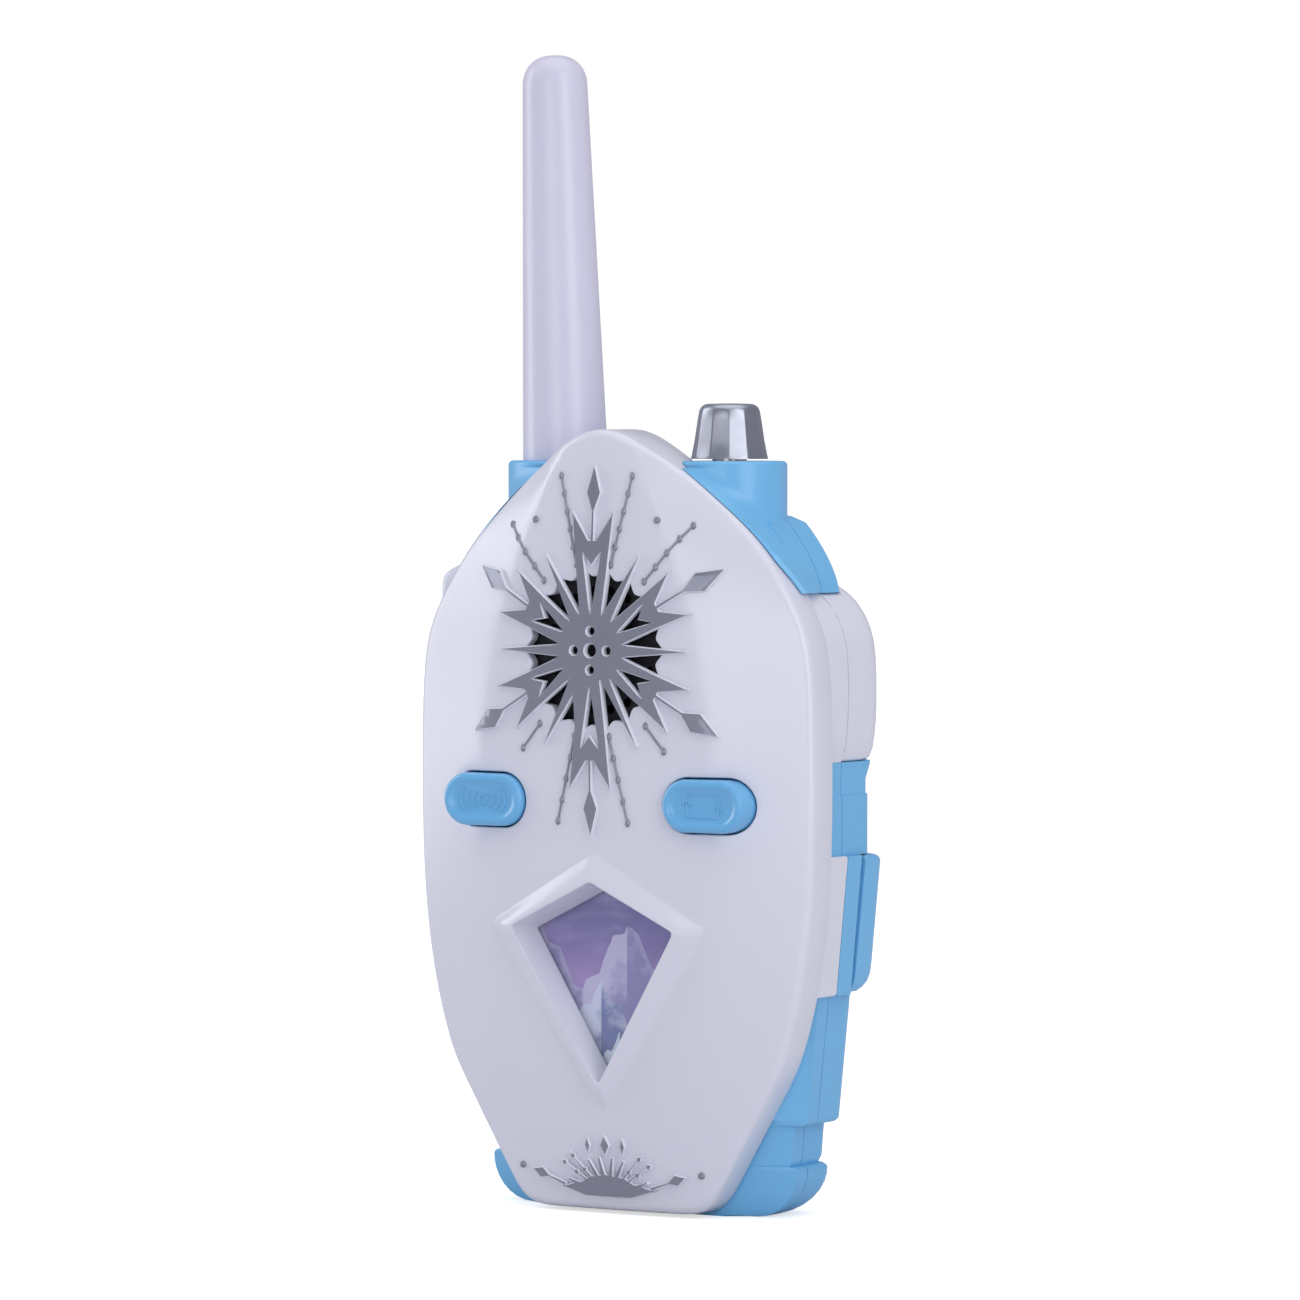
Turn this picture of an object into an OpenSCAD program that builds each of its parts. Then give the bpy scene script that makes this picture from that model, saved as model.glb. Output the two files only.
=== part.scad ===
/* [Face plate] */
// Height of the face plate's tip above the base
plate_top = 134.5; // [134:0.5:135]
// Height of the face plate's lower edge
plate_base = 0.6; // [0.5:0.1:1]
// Largest half width of the face plate
plate_half_w = 39.6; // [39.2:0.2:40]
// Wall thickness of the face plate
plate_wall = 2.2; // [2:0.1:2.4]
// Front-most point of the crowned face
face_front = -16.1; // [-16.3:0.1:-16]
// Front edge of the rim along the sides
face_edge = -8.8; // [-9:0.1:-8.6]
// Back edge of the rim
rim_back = -2.5; // [-2.6:0.1:-2.4]

/* [Casing] */
// Plane where the front and rear shells meet
seam_y = 4; // [3.8:0.1:4.2]
// Wall thickness of both shells
shell_wall = 2; // [1.8:0.1:2.2]
// Thickness of the white side panels and saddle
panel_wall = 1.8; // [1.6:0.1:2]
// Top of the foot
foot_top = 8.4; // [8:0.2:9]
// Top of the narrow step over the foot
ankle_top = 15.9; // [15.4:0.1:16.4]
// Top of the lower body
shin_top = 38; // [37.8:0.1:38.2]
// Top of the belt
belt_top = 61.9; // [61.6:0.1:62.2]
// Top of the waist
waist_top = 77.7; // [77.4:0.1:78]
// Top of the chest
chest_top = 106.4; // [106:0.1:106.8]
// Top of the shoulder
shoulder_top = 118.8; // [118.4:0.1:119.2]
// Top of the two collars
collar_top = 128.8; // [128.4:0.1:129.2]

/* [Controls] */
// Distance of the antenna and of the knob from the middle
collar_x = 16.6; // [16.2:0.1:17]
// Distance of both front buttons from the middle
button_x = 22.1; // [21.8:0.1:22.4]
// Height of both front buttons
button_z = 70.7; // [70.2:0.1:71.2]
// Length of a front button
button_l = 16; // [15.6:0.1:16.2]
// Height of a front button's face
button_h = 9; // [8.6:0.1:9.2]
// Travel of a front button
button_travel = 1.2; // [1:0.1:1.2]

/* [Antenna] */
// Height of the antenna's tip
antenna_top = 198.9; // [180:1:205]
// Radius at the antenna's root
antenna_r0 = 7.35; // [7:0.05:7.6]
// Radius just below the rounded tip
antenna_r1 = 5.6; // [5.2:0.1:5.8]
// Outward lean of the antenna in degrees
antenna_lean = 1.9; // [0:0.1:2.4]

/* [Hidden] */
$fn = 48;

gap = 0.3;                 // clearance between pieces of different bodies
eps = 0.01;
white = "#e8e7f4";
blue = "#7ab6ea";
silver = "#9fa3a8";

// ---------- shared curves ----------

tip_line = 136.2;          // where the straight upper flanks would meet
waist_z = 78;              // height of the plate's widest point
corner_lo = 94;            // the shoulder corner blends over these heights
corner_hi = 108;
crown_z = 84.5;            // height of the crown's front-most point
crown_drop = 1110;         // crown: depth = (z - crown_z)^2 / crown_drop
band_drop = 462;           // centre band: depth = x^2 / band_drop
speaker_z = 96.6;
speaker_hole_r = 13.5;
collar_y = 1.6;
collar_r = 9.9;
collar_bore = 7.9;         // hollow inside a collar
collar_hole = 4.3;         // opening in a collar's roof
door_screw_z = 74.4;
door_flap_x = 29;          // half width of the door's upper flap
plunger_r = 1.7;
plunger_bore = 1.78;
talk_plunger_r = 1.6;
talk_plunger_bore = 1.68;
talk_plunger_y = 3.4;
talk_plunger_z = 95;
thread_r = 0.9;            // shank radius of the larger screws
small_thread_r = 0.8;
cell_pin_r = 1.8;
contact_size = 8;          // side of a contact's square base

function mix(a, b, t) = a + (b - a) * t;
function clamp01(t) = min(1, max(0, t));
function smooth(t) = clamp01(t) * clamp01(t) * (3 - 2 * clamp01(t));
function flank_low(z) = plate_half_w - 21.3 * pow(abs(z - waist_z) / 77.4, 2.35);
function flank_high(z) = 1.8 * (tip_line - z) - 0.0215 * pow(tip_line - z, 2);
// half width of the face plate at height z
function plate_x(z) =
    z < corner_lo ? flank_low(z)
    : z > corner_hi ? flank_high(z)
    : mix(flank_low(z), flank_high(z), smooth((z - corner_lo) / (corner_hi - corner_lo)));
// half width of the plate's middle band
function ridge_x(z) = min(0.72 * plate_x(z), 23.4 - pow(abs(z - 66) / 16.3, 2));
function crown_y(z) = face_front + pow(z - crown_z, 2) / crown_drop;
// the rim comes forward towards the tip
function edge_y(z) = mix(face_edge, -11.5, smooth((z - 118) / 16));
function face_y(x, z) =
    let (r = ridge_x(z), s = abs(x), yr = crown_y(z) + r * r / band_drop)
    s <= r ? crown_y(z) + s * s / band_drop
    : mix(yr, edge_y(z), (s - r) / max(eps, plate_x(z) - r));

function shoulder_x(z) = 33.6 - 7.1 * pow(max(0, z - 106.1) / 12.7, 1.6);
function chest_x(z) = 38.8 - (z > 87.7 ? 5 * pow((z - 87.7) / 18.1, 4) : 1.1 * pow((87.7 - z) / 9.7, 2));
function belt_x(z) = mix(36.5, 38.8, (z - shin_top) / (belt_top - shin_top));
function shin_x(z) = mix(32.8, 35, (z - ankle_top) / (shin_top - ankle_top));
waist_x = 37.5;
ankle_x = 30;
foot_x = 30.8;
foot_r = 8;

function arc(cx, cy, r, a0, a1, n = 6) =
    [for (i = [0 : n]) let (a = mix(a0, a1, i / n)) [cx + r * cos(a), cy + r * sin(a)]];
function both_sides(p) = concat(p, [for (i = [len(p) - 1 : -1 : 0]) [-p[i][0], p[i][1]]]);
function steps(a, b, n) = [for (i = [0 : n]) mix(a, b, i / n)];

foot_pts = concat(arc(foot_x - foot_r, foot_r, foot_r, -90, 0), [[foot_x, foot_top]]);
ankle_pts = [[ankle_x - 0.4, foot_top], [ankle_x + 0.3, ankle_top]];
shin_pts = [[shin_x(ankle_top), ankle_top], [shin_x(shin_top), shin_top]];
belt_pts = [[belt_x(shin_top), shin_top], [belt_x(belt_top), belt_top]];
waist_pts = [[waist_x, belt_top], [waist_x, waist_top]];
chest_pts = [for (z = steps(waist_top, chest_top, 8)) [chest_x(z), z]];
shoulder_pts = [for (z = steps(chest_top, shoulder_top, 5)) [shoulder_x(z), z]];

// ---------- shared shapes ----------

module along_y(y0, y1) {
    translate([0, y1, 0]) rotate([90, 0, 0]) linear_extrude(y1 - y0) children();
}

module along_x(x0, x1) {
    translate([x0, 0, 0]) rotate([90, 0, 90]) linear_extrude(x1 - x0) children();
}

module rod_y(x, z, r, y0, y1) {
    along_y(y0, y1) translate([x, z]) circle(r = r);
}

module stadium(l, h) {
    square([l - h, h], center = true);
    for (s = [-1, 1]) translate([s * (l - h) / 2, 0]) circle(d = h);
}

module box(x0, x1, y0, y1, z0, z1) {
    translate([x0, y0, z0]) cube([x1 - x0, y1 - y0, z1 - z0]);
}

function kite(w, zw, z_hi, z_lo) = [[0, z_hi], [w, zw], [0, z_lo], [-w, zw]];

// outline of one step of the casing, moved in by t, from y0 to y1, with rounded back corners
module casing_block(p, t, y0, y1, r) {
    z0 = p[0][1];
    z1 = p[len(p) - 1][1];
    w = max([for (q = p) q[0]]) - t;
    intersection() {
        along_y(y0, y1) polygon(both_sides([for (q = p) [q[0] - t, q[1]]]));
        translate([0, 0, z0 - eps]) linear_extrude(z1 - z0 + 2 * eps) union() {
            translate([-w, y0]) square([2 * w, y1 - y0 - r]);
            translate([-w + r, y0]) square([2 * (w - r), y1 - y0]);
            for (s = [-1, 1]) translate([s * (w - r), y1 - r]) circle(r = r);
        }
    }
}

// ---------- face plate ----------

plate_rows = concat([plate_base], steps(4, 124, 20), [127, 129.5, 131.5, 133, 134, plate_top]);
kite_w = 16.4;
kite_z = 49.1;
kite_top = 57.2;
kite_bottom = 22.5;
frame_tilt = 4.4;          // slope of the crown at the window, degrees
frame_z = 44;
lens_y = -9.6;
card_y = -8.7;
board_y = -4.4;            // front face of the circuit board
board_t = 1.6;
boss_start = 1.9;          // bosses begin this far behind the outer face

// x of each column of the plate's surface: side flats outside the ridges, the band between
function row_xs(z, t) =
    let (w = plate_x(z) - t, r = min(ridge_x(z), w * 0.99))
    concat(
        [for (c = [1, 0.75, 0.5, 0.25]) -mix(r, w, c)],
        [for (c = [-1, -0.66, -0.33, 0, 0.33, 0.66, 1]) r * c],
        [for (c = [0.25, 0.5, 0.75, 1]) mix(r, w, c)]
    );
// a closed cup: crowned front, straight rim, open back
module plate_cup() {
    nr = len(plate_rows);
    nc = 15;
    z_lo = plate_base + plate_wall;
    z_hi = plate_top - 1.7 * plate_wall;
    zs_in = [for (z = plate_rows) mix(z_lo, z_hi, (z - plate_base) / (plate_top - plate_base))];
    outer = [for (z = plate_rows) for (x = row_xs(z, 0)) [x, face_y(x, z), z]];
    inner = [for (z = zs_in) for (x = row_xs(z, plate_wall))
        [x, min(face_y(x, z) + plate_wall, rim_back - 2), z]];
    loop = concat(
        [for (c = [0 : nc - 1]) c],
        [for (r = [1 : nr - 1]) r * nc + nc - 1],
        [for (c = [nc - 2 : -1 : 0]) (nr - 1) * nc + c],
        [for (r = [nr - 2 : -1 : 1]) r * nc]
    );
    nl = len(loop);
    n = nr * nc;
    outer_back = [for (i = loop) [outer[i][0], rim_back, outer[i][2]]];
    inner_back = [for (i = loop) [inner[i][0], rim_back, inner[i][2]]];
    points = concat(outer, inner, outer_back, inner_back);
    faces = concat(
        [for (r = [0 : nr - 2]) for (c = [0 : nc - 2]) for (h = [0, 1])
            let (a = r * nc + c)
            h == 0 ? [a, a + nc, a + nc + 1] : [a, a + nc + 1, a + 1]],
        [for (r = [0 : nr - 2]) for (c = [0 : nc - 2]) for (h = [0, 1])
            let (a = n + r * nc + c)
            h == 0 ? [a, a + nc + 1, a + nc] : [a, a + 1, a + nc + 1]],
        [for (i = [0 : nl - 1]) for (h = [0, 1])
            let (a = loop[i], b = loop[(i + 1) % nl], c = 2 * n + i, d = 2 * n + (i + 1) % nl)
            h == 0 ? [a, b, d] : [a, d, c]],
        [for (i = [0 : nl - 1]) for (h = [0, 1])
            let (a = n + loop[i], b = n + loop[(i + 1) % nl], c = 2 * n + nl + i,
                d = 2 * n + nl + (i + 1) % nl)
            h == 0 ? [a, d, b] : [a, c, d]],
        [for (i = [0 : nl - 1]) for (h = [0, 1])
            let (a = 2 * n + i, b = 2 * n + (i + 1) % nl, c = a + nl, d = 2 * n + nl + (i + 1) % nl)
            h == 0 ? [a, b, d] : [a, d, c]]
    );
    polyhedron(points, faces);
}

// solid under the window: the raised kite frame and the deep walls of its recess
module window_frame() {
    rise = 1.3;
    translate([0, crown_y(frame_z), frame_z]) rotate([frame_tilt, 0, 0]) translate([0, 0, -frame_z]) {
        hull() {
            along_y(0.9, 1) polygon(kite(21.8, 49.7, 62.6, 17.5));
            along_y(-rise, 1 - rise) polygon(kite(18.6, 49.4, 59.4, 20.2));
        }
    }
    along_y(crown_y(frame_z) + 0.5, lens_y) polygon(kite(18, 49.1, 59, 20.5));
}

plate_boss_r = 2.4;
plate_screw_side = [[30, 99], [31.5, 61], [29, 36], [19.5, 17.5]];
plate_screw_spots = concat([[0, 115.8]], [for (s = [-1, 1], p = plate_screw_side) [s * p[0], p[1]]]);
board_screw_spots = [for (s = [-1, 1], z = [32, 84]) [s * 23, z]];
speaker_screw_spots = [for (a = [30, 150, 270]) [20.6 * cos(a), speaker_z + 20.6 * sin(a)]];

// edge of the speaker opening: a ring of small points, like frost
function frost_hole(n, r0, r1) = [for (i = [0 : 2 * n - 1]) let (a = i * 180 / n, r = i % 2 ? r0 : r1)
    [r * cos(a), r * sin(a)]];

module front_plate() {
    color(white) difference() {
        union() {
            plate_cup();
            window_frame();
            for (p = plate_screw_spots)
                rod_y(p[0], p[1], plate_boss_r, face_y(p[0], p[1]) + boss_start, rim_back);
            for (p = board_screw_spots) rod_y(p[0], p[1], 2.2, face_y(p[0], p[1]) + boss_start, board_y);
            for (p = speaker_screw_spots) rod_y(p[0], p[1], 1.9, face_y(p[0], p[1]) + boss_start, -11.2);
        }
        along_y(-20, lens_y - 1) polygon(kite(kite_w, kite_z, kite_top, kite_bottom));
        along_y(lens_y - 1 - eps, lens_y + eps)
            polygon(kite(kite_w + 0.9, kite_z, kite_top + 0.9, kite_bottom - 1));
        along_y(-20, -11.3) translate([0, speaker_z]) polygon(frost_hole(18, 12.4, speaker_hole_r + 0.6));
        for (s = [-1, 1]) along_y(-20, -4) translate([s * button_x, button_z])
            stadium(button_l + 2 * gap, button_h + 2 * gap);
        for (p = plate_screw_spots) rod_y(p[0], p[1], thread_r, -7.5, rim_back + 1);
        for (p = board_screw_spots) rod_y(p[0], p[1], small_thread_r, -8, board_y + 1);
        for (p = speaker_screw_spots) rod_y(p[0], p[1], 0.7, -13, -10);
    }
}

// ---------- ornaments ----------

crystal_t = 1.6;           // total thickness, half of it set into the face
crystal_proud = 0.8;

// one ray: long taper with a lozenge tip and a pair of side barbs
module ray(l, w, tip) {
    neck = 0.5;
    polygon([[-w, 0], [-neck, l - tip], [-1.5, l - 0.55 * tip], [0, l],
        [1.5, l - 0.55 * tip], [neck, l - tip], [w, 0]]);
}

module barbs(at, l, w) {
    for (s = [-1, 1]) translate([0, at]) rotate(-s * 42)
        polygon([[-w, -w], [-w * 0.6, l * 0.6], [0, l], [w * 0.6, l * 0.6], [w, -w]]);
}

module spike(l, w) {
    polygon([[-w, 0], [0, l], [w, 0]]);
}

// flat outline of the whole crystal, middle at the origin
module crystal_outline() {
    difference() {
        union() {
            for (k = [0 : 5]) rotate(60 * k) {
                ray(k % 3 ? 26.5 : 31, 2.4, 9);
                barbs(9.5, 8, 0.9);
                barbs(14.5, 5.5, 0.75);
                rotate(30) spike(18, 1.5);
                for (a = [15, 45]) rotate(a) spike(13, 0.9);
            }
            circle(r = 5);
        }
        circle(r = 1.3);
        for (k = [0 : 5]) rotate(60 * k) translate([0, 3.3]) circle(r = 0.7);
    }
}

// a sheet that follows the crowned middle band, from y offset a to y offset b
module band_sheet(a, b, w, z0, z1, nx, nz) {
    xs = steps(-w, w, nx);
    zs = steps(z0, z1, nz);
    row = nx + 1;
    n = row * (nz + 1);
    function sheet(o) = [for (z = zs) for (x = xs) [x, crown_y(z) + x * x / band_drop + o, z]];
    rim = concat(
        [for (c = [0 : nx - 1]) c], [for (r = [0 : nz - 1]) r * row + nx],
        [for (c = [nx : -1 : 1]) nz * row + c], [for (r = [nz : -1 : 1]) r * row]
    );
    polyhedron(concat(sheet(a), sheet(b)), concat(
        [for (r = [0 : nz - 1]) for (c = [0 : nx - 1])
            let (i = r * row + c) [i, i + row, i + row + 1, i + 1]],
        [for (r = [0 : nz - 1]) for (c = [0 : nx - 1])
            let (i = n + r * row + c) [i, i + 1, i + row + 1, i + row]],
        [for (k = [0 : len(rim) - 1])
            let (i = rim[k], j = rim[(k + 1) % len(rim)]) [i, j, n + j, n + i]]
    ));
}

module snow_crystal() {
    color(silver) intersection() {
        along_y(-20, -10) translate([0, speaker_z]) crystal_outline();
        band_sheet(-crystal_proud, crystal_t - crystal_proud, 32, speaker_z - 36, speaker_z + 36, 8, 8);
    }
}

lower_z = 3;
lower_mid = 7;              // height the lower ornament is tilted about
lower_tilt = 7.9;           // slope of the crown at the lower ornament, degrees

module lower_crystal() {
    color(silver) translate([0, crown_y(lower_mid) - crystal_proud, lower_mid]) rotate([lower_tilt, 0, 0])
        translate([0, 0, -lower_mid]) along_y(0, crystal_t) translate([0, lower_z]) {
            intersection() {
                union() {
                    for (a = [-75, -50, -25, 0, 25, 50, 75]) rotate(a) ray(a % 50 == 0 ? 10 : 8, 1.2, 4);
                    for (a = [-60, 60]) rotate(a) ray(15, 1, 5);
                    for (a = [-37, -12, 12, 37]) rotate(a) spike(7, 0.8);
                }
                translate([-20, 0]) square([40, 20]);
            }
            translate([-5, 0]) square([10, 1.4]);
        }
}

// ---------- window ----------

module window_lens() {
    color("white", 0.35) along_y(lens_y - 1, lens_y)
        polygon(kite(kite_w + 0.8, kite_z, kite_top + 0.7, kite_bottom - 0.8));
}

module picture_card() {
    color("mediumpurple") along_y(lens_y + 0.02, card_y)
        polygon(kite(kite_w + 1.2, kite_z, kite_top + 1.2, kite_bottom - 1.2));
}

module light_box() {
    color(white) difference() {
        along_y(card_y, board_y) polygon(kite(17.9, kite_z, 58.9, 20.6));
        along_y(card_y - eps, board_y + eps) polygon(kite(kite_w, kite_z, kite_top, kite_bottom));
    }
}

// ---------- casing ----------

flange_y = -2.3;
flange_w = 9.8;
talk_z0 = 80;
talk_z1 = 111.5;
talk_y0 = -1.6;
talk_y1 = 8.6;
bay_x = 24.5;              // half length of the battery bay
bay_wall = 1.3;
bay_out = bay_x + bay_wall;
bay_z0 = 38.7;
bay_z1 = 71.9;
bay_y = 3.2;               // floor of the battery bay
cell_r = 5.15;
cell_l = 43.6;
cell_y = 8.6;
cell_zs = [44.6, 55.5, 66.4];
back_shoulder = 12.2;
back_chest = 18.5;
back_waist = 15.5;
back_belt = 18.4;
back_door_line = 9.4;
back_shin = 14;
back_ankle = 13;
back_foot = 14;
shell_thread_r = 1;
shell_screw_spots = [for (s = [-1, 1], p = [[27.2, 108.5], [22.5, 12]]) [s * p[0], p[1]]];

// [outline, inset of the blue core, back plane, corner radius] of each step of the casing
steps_back = [
    [foot_pts, 0, back_foot, 4], [ankle_pts, 0, back_ankle, 3], [shin_pts, 0, back_shin, 4],
    [belt_pts, 0, back_door_line, 1], [waist_pts, 0, back_waist, 4],
    [chest_pts, panel_wall, back_chest - panel_wall, 6], [shoulder_pts, 0, back_shoulder, 3]
];
steps_front = [
    [foot_pts, 0], [ankle_pts, 0], [shin_pts, 0], [belt_pts, panel_wall], [waist_pts, 0],
    [chest_pts, panel_wall], [shoulder_pts, 0]
];

module collars(r, z0, z1) {
    for (s = [-1, 1]) translate([s * collar_x, collar_y, z0]) cylinder(r = r, h = z1 - z0);
}

// the hollow inside both shells follows the widest plain shape that keeps the wall
module hollow(y0, y1) {
    intersection() {
        along_y(y0, y1) polygon(both_sides([
            [foot_x - foot_r, shell_wall], [foot_x - shell_wall - 1.6, foot_top - 3],
            [ankle_x - shell_wall - 0.8, ankle_top], [shin_x(ankle_top) - shell_wall - 1, ankle_top + 4],
            [shin_x(shin_top) - shell_wall - 0.4, shin_top],
            [belt_x(belt_top) - 2 * shell_wall - 0.6, belt_top],
            [waist_x - shell_wall, belt_top + 3], [waist_x - shell_wall - 1, 95],
            [chest_x(102) - 2 * shell_wall, 101], [shoulder_x(chest_top) - shell_wall - 0.2, chest_top - 3],
            [shoulder_x(112) - shell_wall, 112],
            [shoulder_x(shoulder_top) - shell_wall - 1, shoulder_top - shell_wall]
        ]));
        children();
    }
}

// the front shell starts just outside the plate's rim and steps out to the full casing
step_y = 0.4;
function rim_x(z) = z > 60 ? 50 : plate_x(max(z, plate_base)) + 1.2;

module talk_cut(grow) {
    box(-45, -30, talk_y0 - grow, talk_y1 + grow, talk_z0 - grow, chest_top + 2);
}

module front_shell() {
    color(blue) difference() {
        union() {
            for (b = steps_front) {
                along_y(flange_y, step_y + eps)
                    polygon(both_sides([for (q = b[0]) [min(q[0], rim_x(q[1])) - b[1], q[1]]]));
                along_y(step_y, seam_y - 0.02) polygon(both_sides([for (q = b[0]) [q[0] - b[1], q[1]]]));
            }
            difference() {
                intersection() {
                    collars(collar_r, 112, collar_top);
                    box(-40, 40, -15, seam_y - 0.02, 110, 130);
                }
                along_y(-20, flange_y)
                    polygon(both_sides([for (z = steps(108, plate_top, 12)) [plate_x(z) + gap, z]]));
            }
        }
        hollow(flange_y + 2, seam_y + 1) box(-50, 50, step_y + shell_wall, 20, 0, 130);
        hollow(flange_y + 2, seam_y + 1) along_y(flange_y, seam_y + 1)
            polygon(both_sides([for (z = steps(shell_wall, shoulder_top, 24))
                [rim_x(z) - shell_wall - 0.6, z]]));
        // opening inside the mounting flange
        along_y(flange_y - 1, flange_y + 3) polygon(both_sides([for (z = steps(9, 113, 16))
            [min(plate_x(z), chest_top > z ? waist_x : shoulder_x(z)) - flange_w, z]]));
        talk_cut(gap);
        collars(collar_bore, 111, collar_top - 2);
        collars(collar_hole, 110, collar_top + 1);
        for (p = plate_screw_spots) {
            rod_y(p[0], p[1], 1.3, -5, 3);
            rod_y(p[0], p[1], 2.4, flange_y + 2, 3);
        }
        for (p = board_screw_spots) rod_y(p[0], p[1], 2.3, -5, 3);
        for (p = shell_screw_spots) rod_y(p[0], p[1], shell_thread_r + 0.05, flange_y + 2, seam_y + 1);
    }
    color(blue) for (p = shell_screw_spots) difference() {
        rod_y(p[0], p[1], 2.6, flange_y + 1, seam_y - 0.02);
        rod_y(p[0], p[1], shell_thread_r + 0.05, flange_y + 2, seam_y + 1);
    }
}

module rear_shell() {
    color(blue) difference() {
        union() {
            difference() {
                union() {
                    for (b = steps_back) casing_block(b[0], b[1], seam_y + 0.02, b[2], b[3]);
                    intersection() {
                        collars(collar_r, 112, collar_top);
                        box(-40, 40, seam_y + 0.02, 20, 110, 130);
                    }
                }
                hollow(seam_y - 1, 20) union() {
                    box(-50, 50, 0, back_ankle - shell_wall, 0, shin_top);
                    box(-50, 50, 0, back_door_line - shell_wall, shin_top - eps, belt_top);
                    box(-50, 50, 0, back_waist - shell_wall, belt_top - eps, waist_top);
                    box(-50, 50, 0, back_chest - 2 * shell_wall - 0.5, waist_top - eps, chest_top - 2);
                    box(-50, 50, 0, back_shoulder - shell_wall, chest_top - 3, shoulder_top);
                }
                collars(collar_bore, 111, collar_top - 2);
                collars(collar_hole, 110, collar_top + 1);
            }
            box(-bay_out, bay_out, bay_y - bay_wall, back_door_line, bay_z0 - bay_wall, bay_z1 + bay_wall);
            box(-bay_out, bay_out, bay_y - bay_wall, back_waist - shell_wall + 0.5, belt_top, bay_z1 + bay_wall);
            for (p = shell_screw_spots) rod_y(p[0], p[1], 3, seam_y + 0.02, back_shoulder - 1);
            rod_y(0, door_screw_z, 2.6, seam_y + 1, back_waist - shell_wall + 0.5);
        }
        box(-bay_x, bay_x, bay_y, 20, bay_z0, bay_z1);
        box(-door_flap_x - gap, door_flap_x + gap, back_waist - 1.4, 20, belt_top - 1, 76.8);
        talk_cut(gap);
        for (p = shell_screw_spots) {
            rod_y(p[0], p[1], 1.4, 0, 20);
            rod_y(p[0], p[1], 2.3, 8, 20);
        }
        rod_y(0, door_screw_z, 1.1, seam_y + 2, 20);
    }
}

module side_panel(p, side) {
    color(white) difference() {
        intersection() {
            along_y(flange_y, seam_y - 0.02) difference() {
                polygon(both_sides(p));
                polygon(both_sides([for (q = p) [q[0] - panel_wall, q[1]]]));
            }
            box(side > 0 ? 0 : -60, side > 0 ? 60 : 0, -20, 20, 0, 200);
        }
        talk_cut(gap);
    }
}

module left_chest_panel() { side_panel(chest_pts, -1); }
module right_chest_panel() { side_panel(chest_pts, 1); }
module left_belt_panel() { side_panel(belt_pts, -1); }
module right_belt_panel() { side_panel(belt_pts, 1); }

module rear_saddle() {
    color(white) difference() {
        casing_block(chest_pts, 0, seam_y + 0.02, back_chest, 7);
        casing_block(chest_pts, panel_wall, seam_y - 0.02, back_chest - panel_wall, 6);
        talk_cut(gap);
    }
}

// ---------- antenna and volume knob ----------

wire_r = 1.35;
foot_pin_r = 3.4;

module antenna() {
    l = antenna_top - collar_top;
    cap_z = l - antenna_r1 + 0.6;
    color(white) difference() {
        translate([-collar_x, collar_y, collar_top]) rotate([0, -antenna_lean, 0])
        rotate_extrude() difference() {
            union() {
                polygon([[0, -2], [antenna_r0, -2], [antenna_r0, 0], [antenna_r1, cap_z], [0, cap_z]]);
                intersection() {
                    translate([0, cap_z - 0.5]) circle(r = antenna_r1);
                    translate([0, cap_z]) square([antenna_r1, antenna_r1]);
                }
            }
            translate([0, -3]) square([wire_r + 0.05, l - 8]);
        }
        box(-40, 0, -20, 20, collar_top - 6, collar_top);
        translate([-collar_x, collar_y, collar_top - 1]) cylinder(r = foot_pin_r, h = 7);
    }
}

module antenna_foot() {
    color("goldenrod") translate([-collar_x, collar_y, 0]) {
        translate([0, 0, 114]) cylinder(r = 4.1, h = collar_top - 114);
        translate([0, 0, collar_top]) cylinder(r = foot_pin_r, h = 6);
        translate([0, 0, 116]) cylinder(r = 5, h = 2.4, $fn = 6);
    }
}

module antenna_wire() {
    color("silver") translate([-collar_x, collar_y, collar_top]) rotate([0, -antenna_lean, 0])
        translate([0, 0, 6.2]) cylinder(r = wire_r, h = antenna_top - collar_top - 18);
}

knob_h = 9.9;
shaft_r = 3;

module volume_knob() {
    color(silver) translate([collar_x, collar_y, collar_top + gap]) difference() {
        intersection() {
            rotate_extrude($fn = 96)
                polygon([[0, 0], [6.57, 0], [5.5, 7.6], [5.1, 8.8], [4.2, 9.5], [0, knob_h - gap]]);
            linear_extrude(knob_h) circle(r = 6.7, $fn = 12);
        }
        translate([0, 0, -1]) cylinder(r = shaft_r, h = 8);
    }
}

module volume_shaft() {
    color("gray") translate([collar_x, collar_y, 0]) difference() {
        translate([0, 0, 107]) cylinder(r = shaft_r, h = collar_top + gap + 7 - 107);
        translate([2.2, -5, 118]) cube([5, 10, 30]);
    }
}

module volume_control() {
    color("dimgray") difference() {
        union() {
            box(collar_x - 6, collar_x + 5, board_y + board_t + 0.02, 6.2, 104, 111);
            translate([collar_x, collar_y, 111]) cylinder(r = 4.2, h = 5);
        }
        translate([collar_x, collar_y, 106.9]) cylinder(r = shaft_r + 0.05, h = 12);
    }
}

// ---------- push buttons ----------

button_front = -16.7;
flange_front = -9.4;
button_back = -8.6;

module front_button(side) {
    color(blue) translate([side * button_x, 0, button_z]) difference() {
        union() {
            along_y(button_front, flange_front) stadium(button_l, button_h);
            along_y(flange_front, button_back) stadium(button_l + 1.6, button_h + 1.6);
        }
        along_y(button_front - 1, button_front + 0.5) stadium(button_l - 3, button_h - 3);
        children();
    }
}

// signal waves
module left_button() {
    front_button(-1) for (r = [1, 2.2, 3.4]) along_y(button_front, button_front + 0.8)
        difference() {
            circle(r = r + 0.2);
            circle(r = r - 0.2);
            for (a = [0, 180]) rotate(a) translate([-2, r > 1.5 ? 0.6 * r : 9]) square([4, 9]);
        }
}

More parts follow.
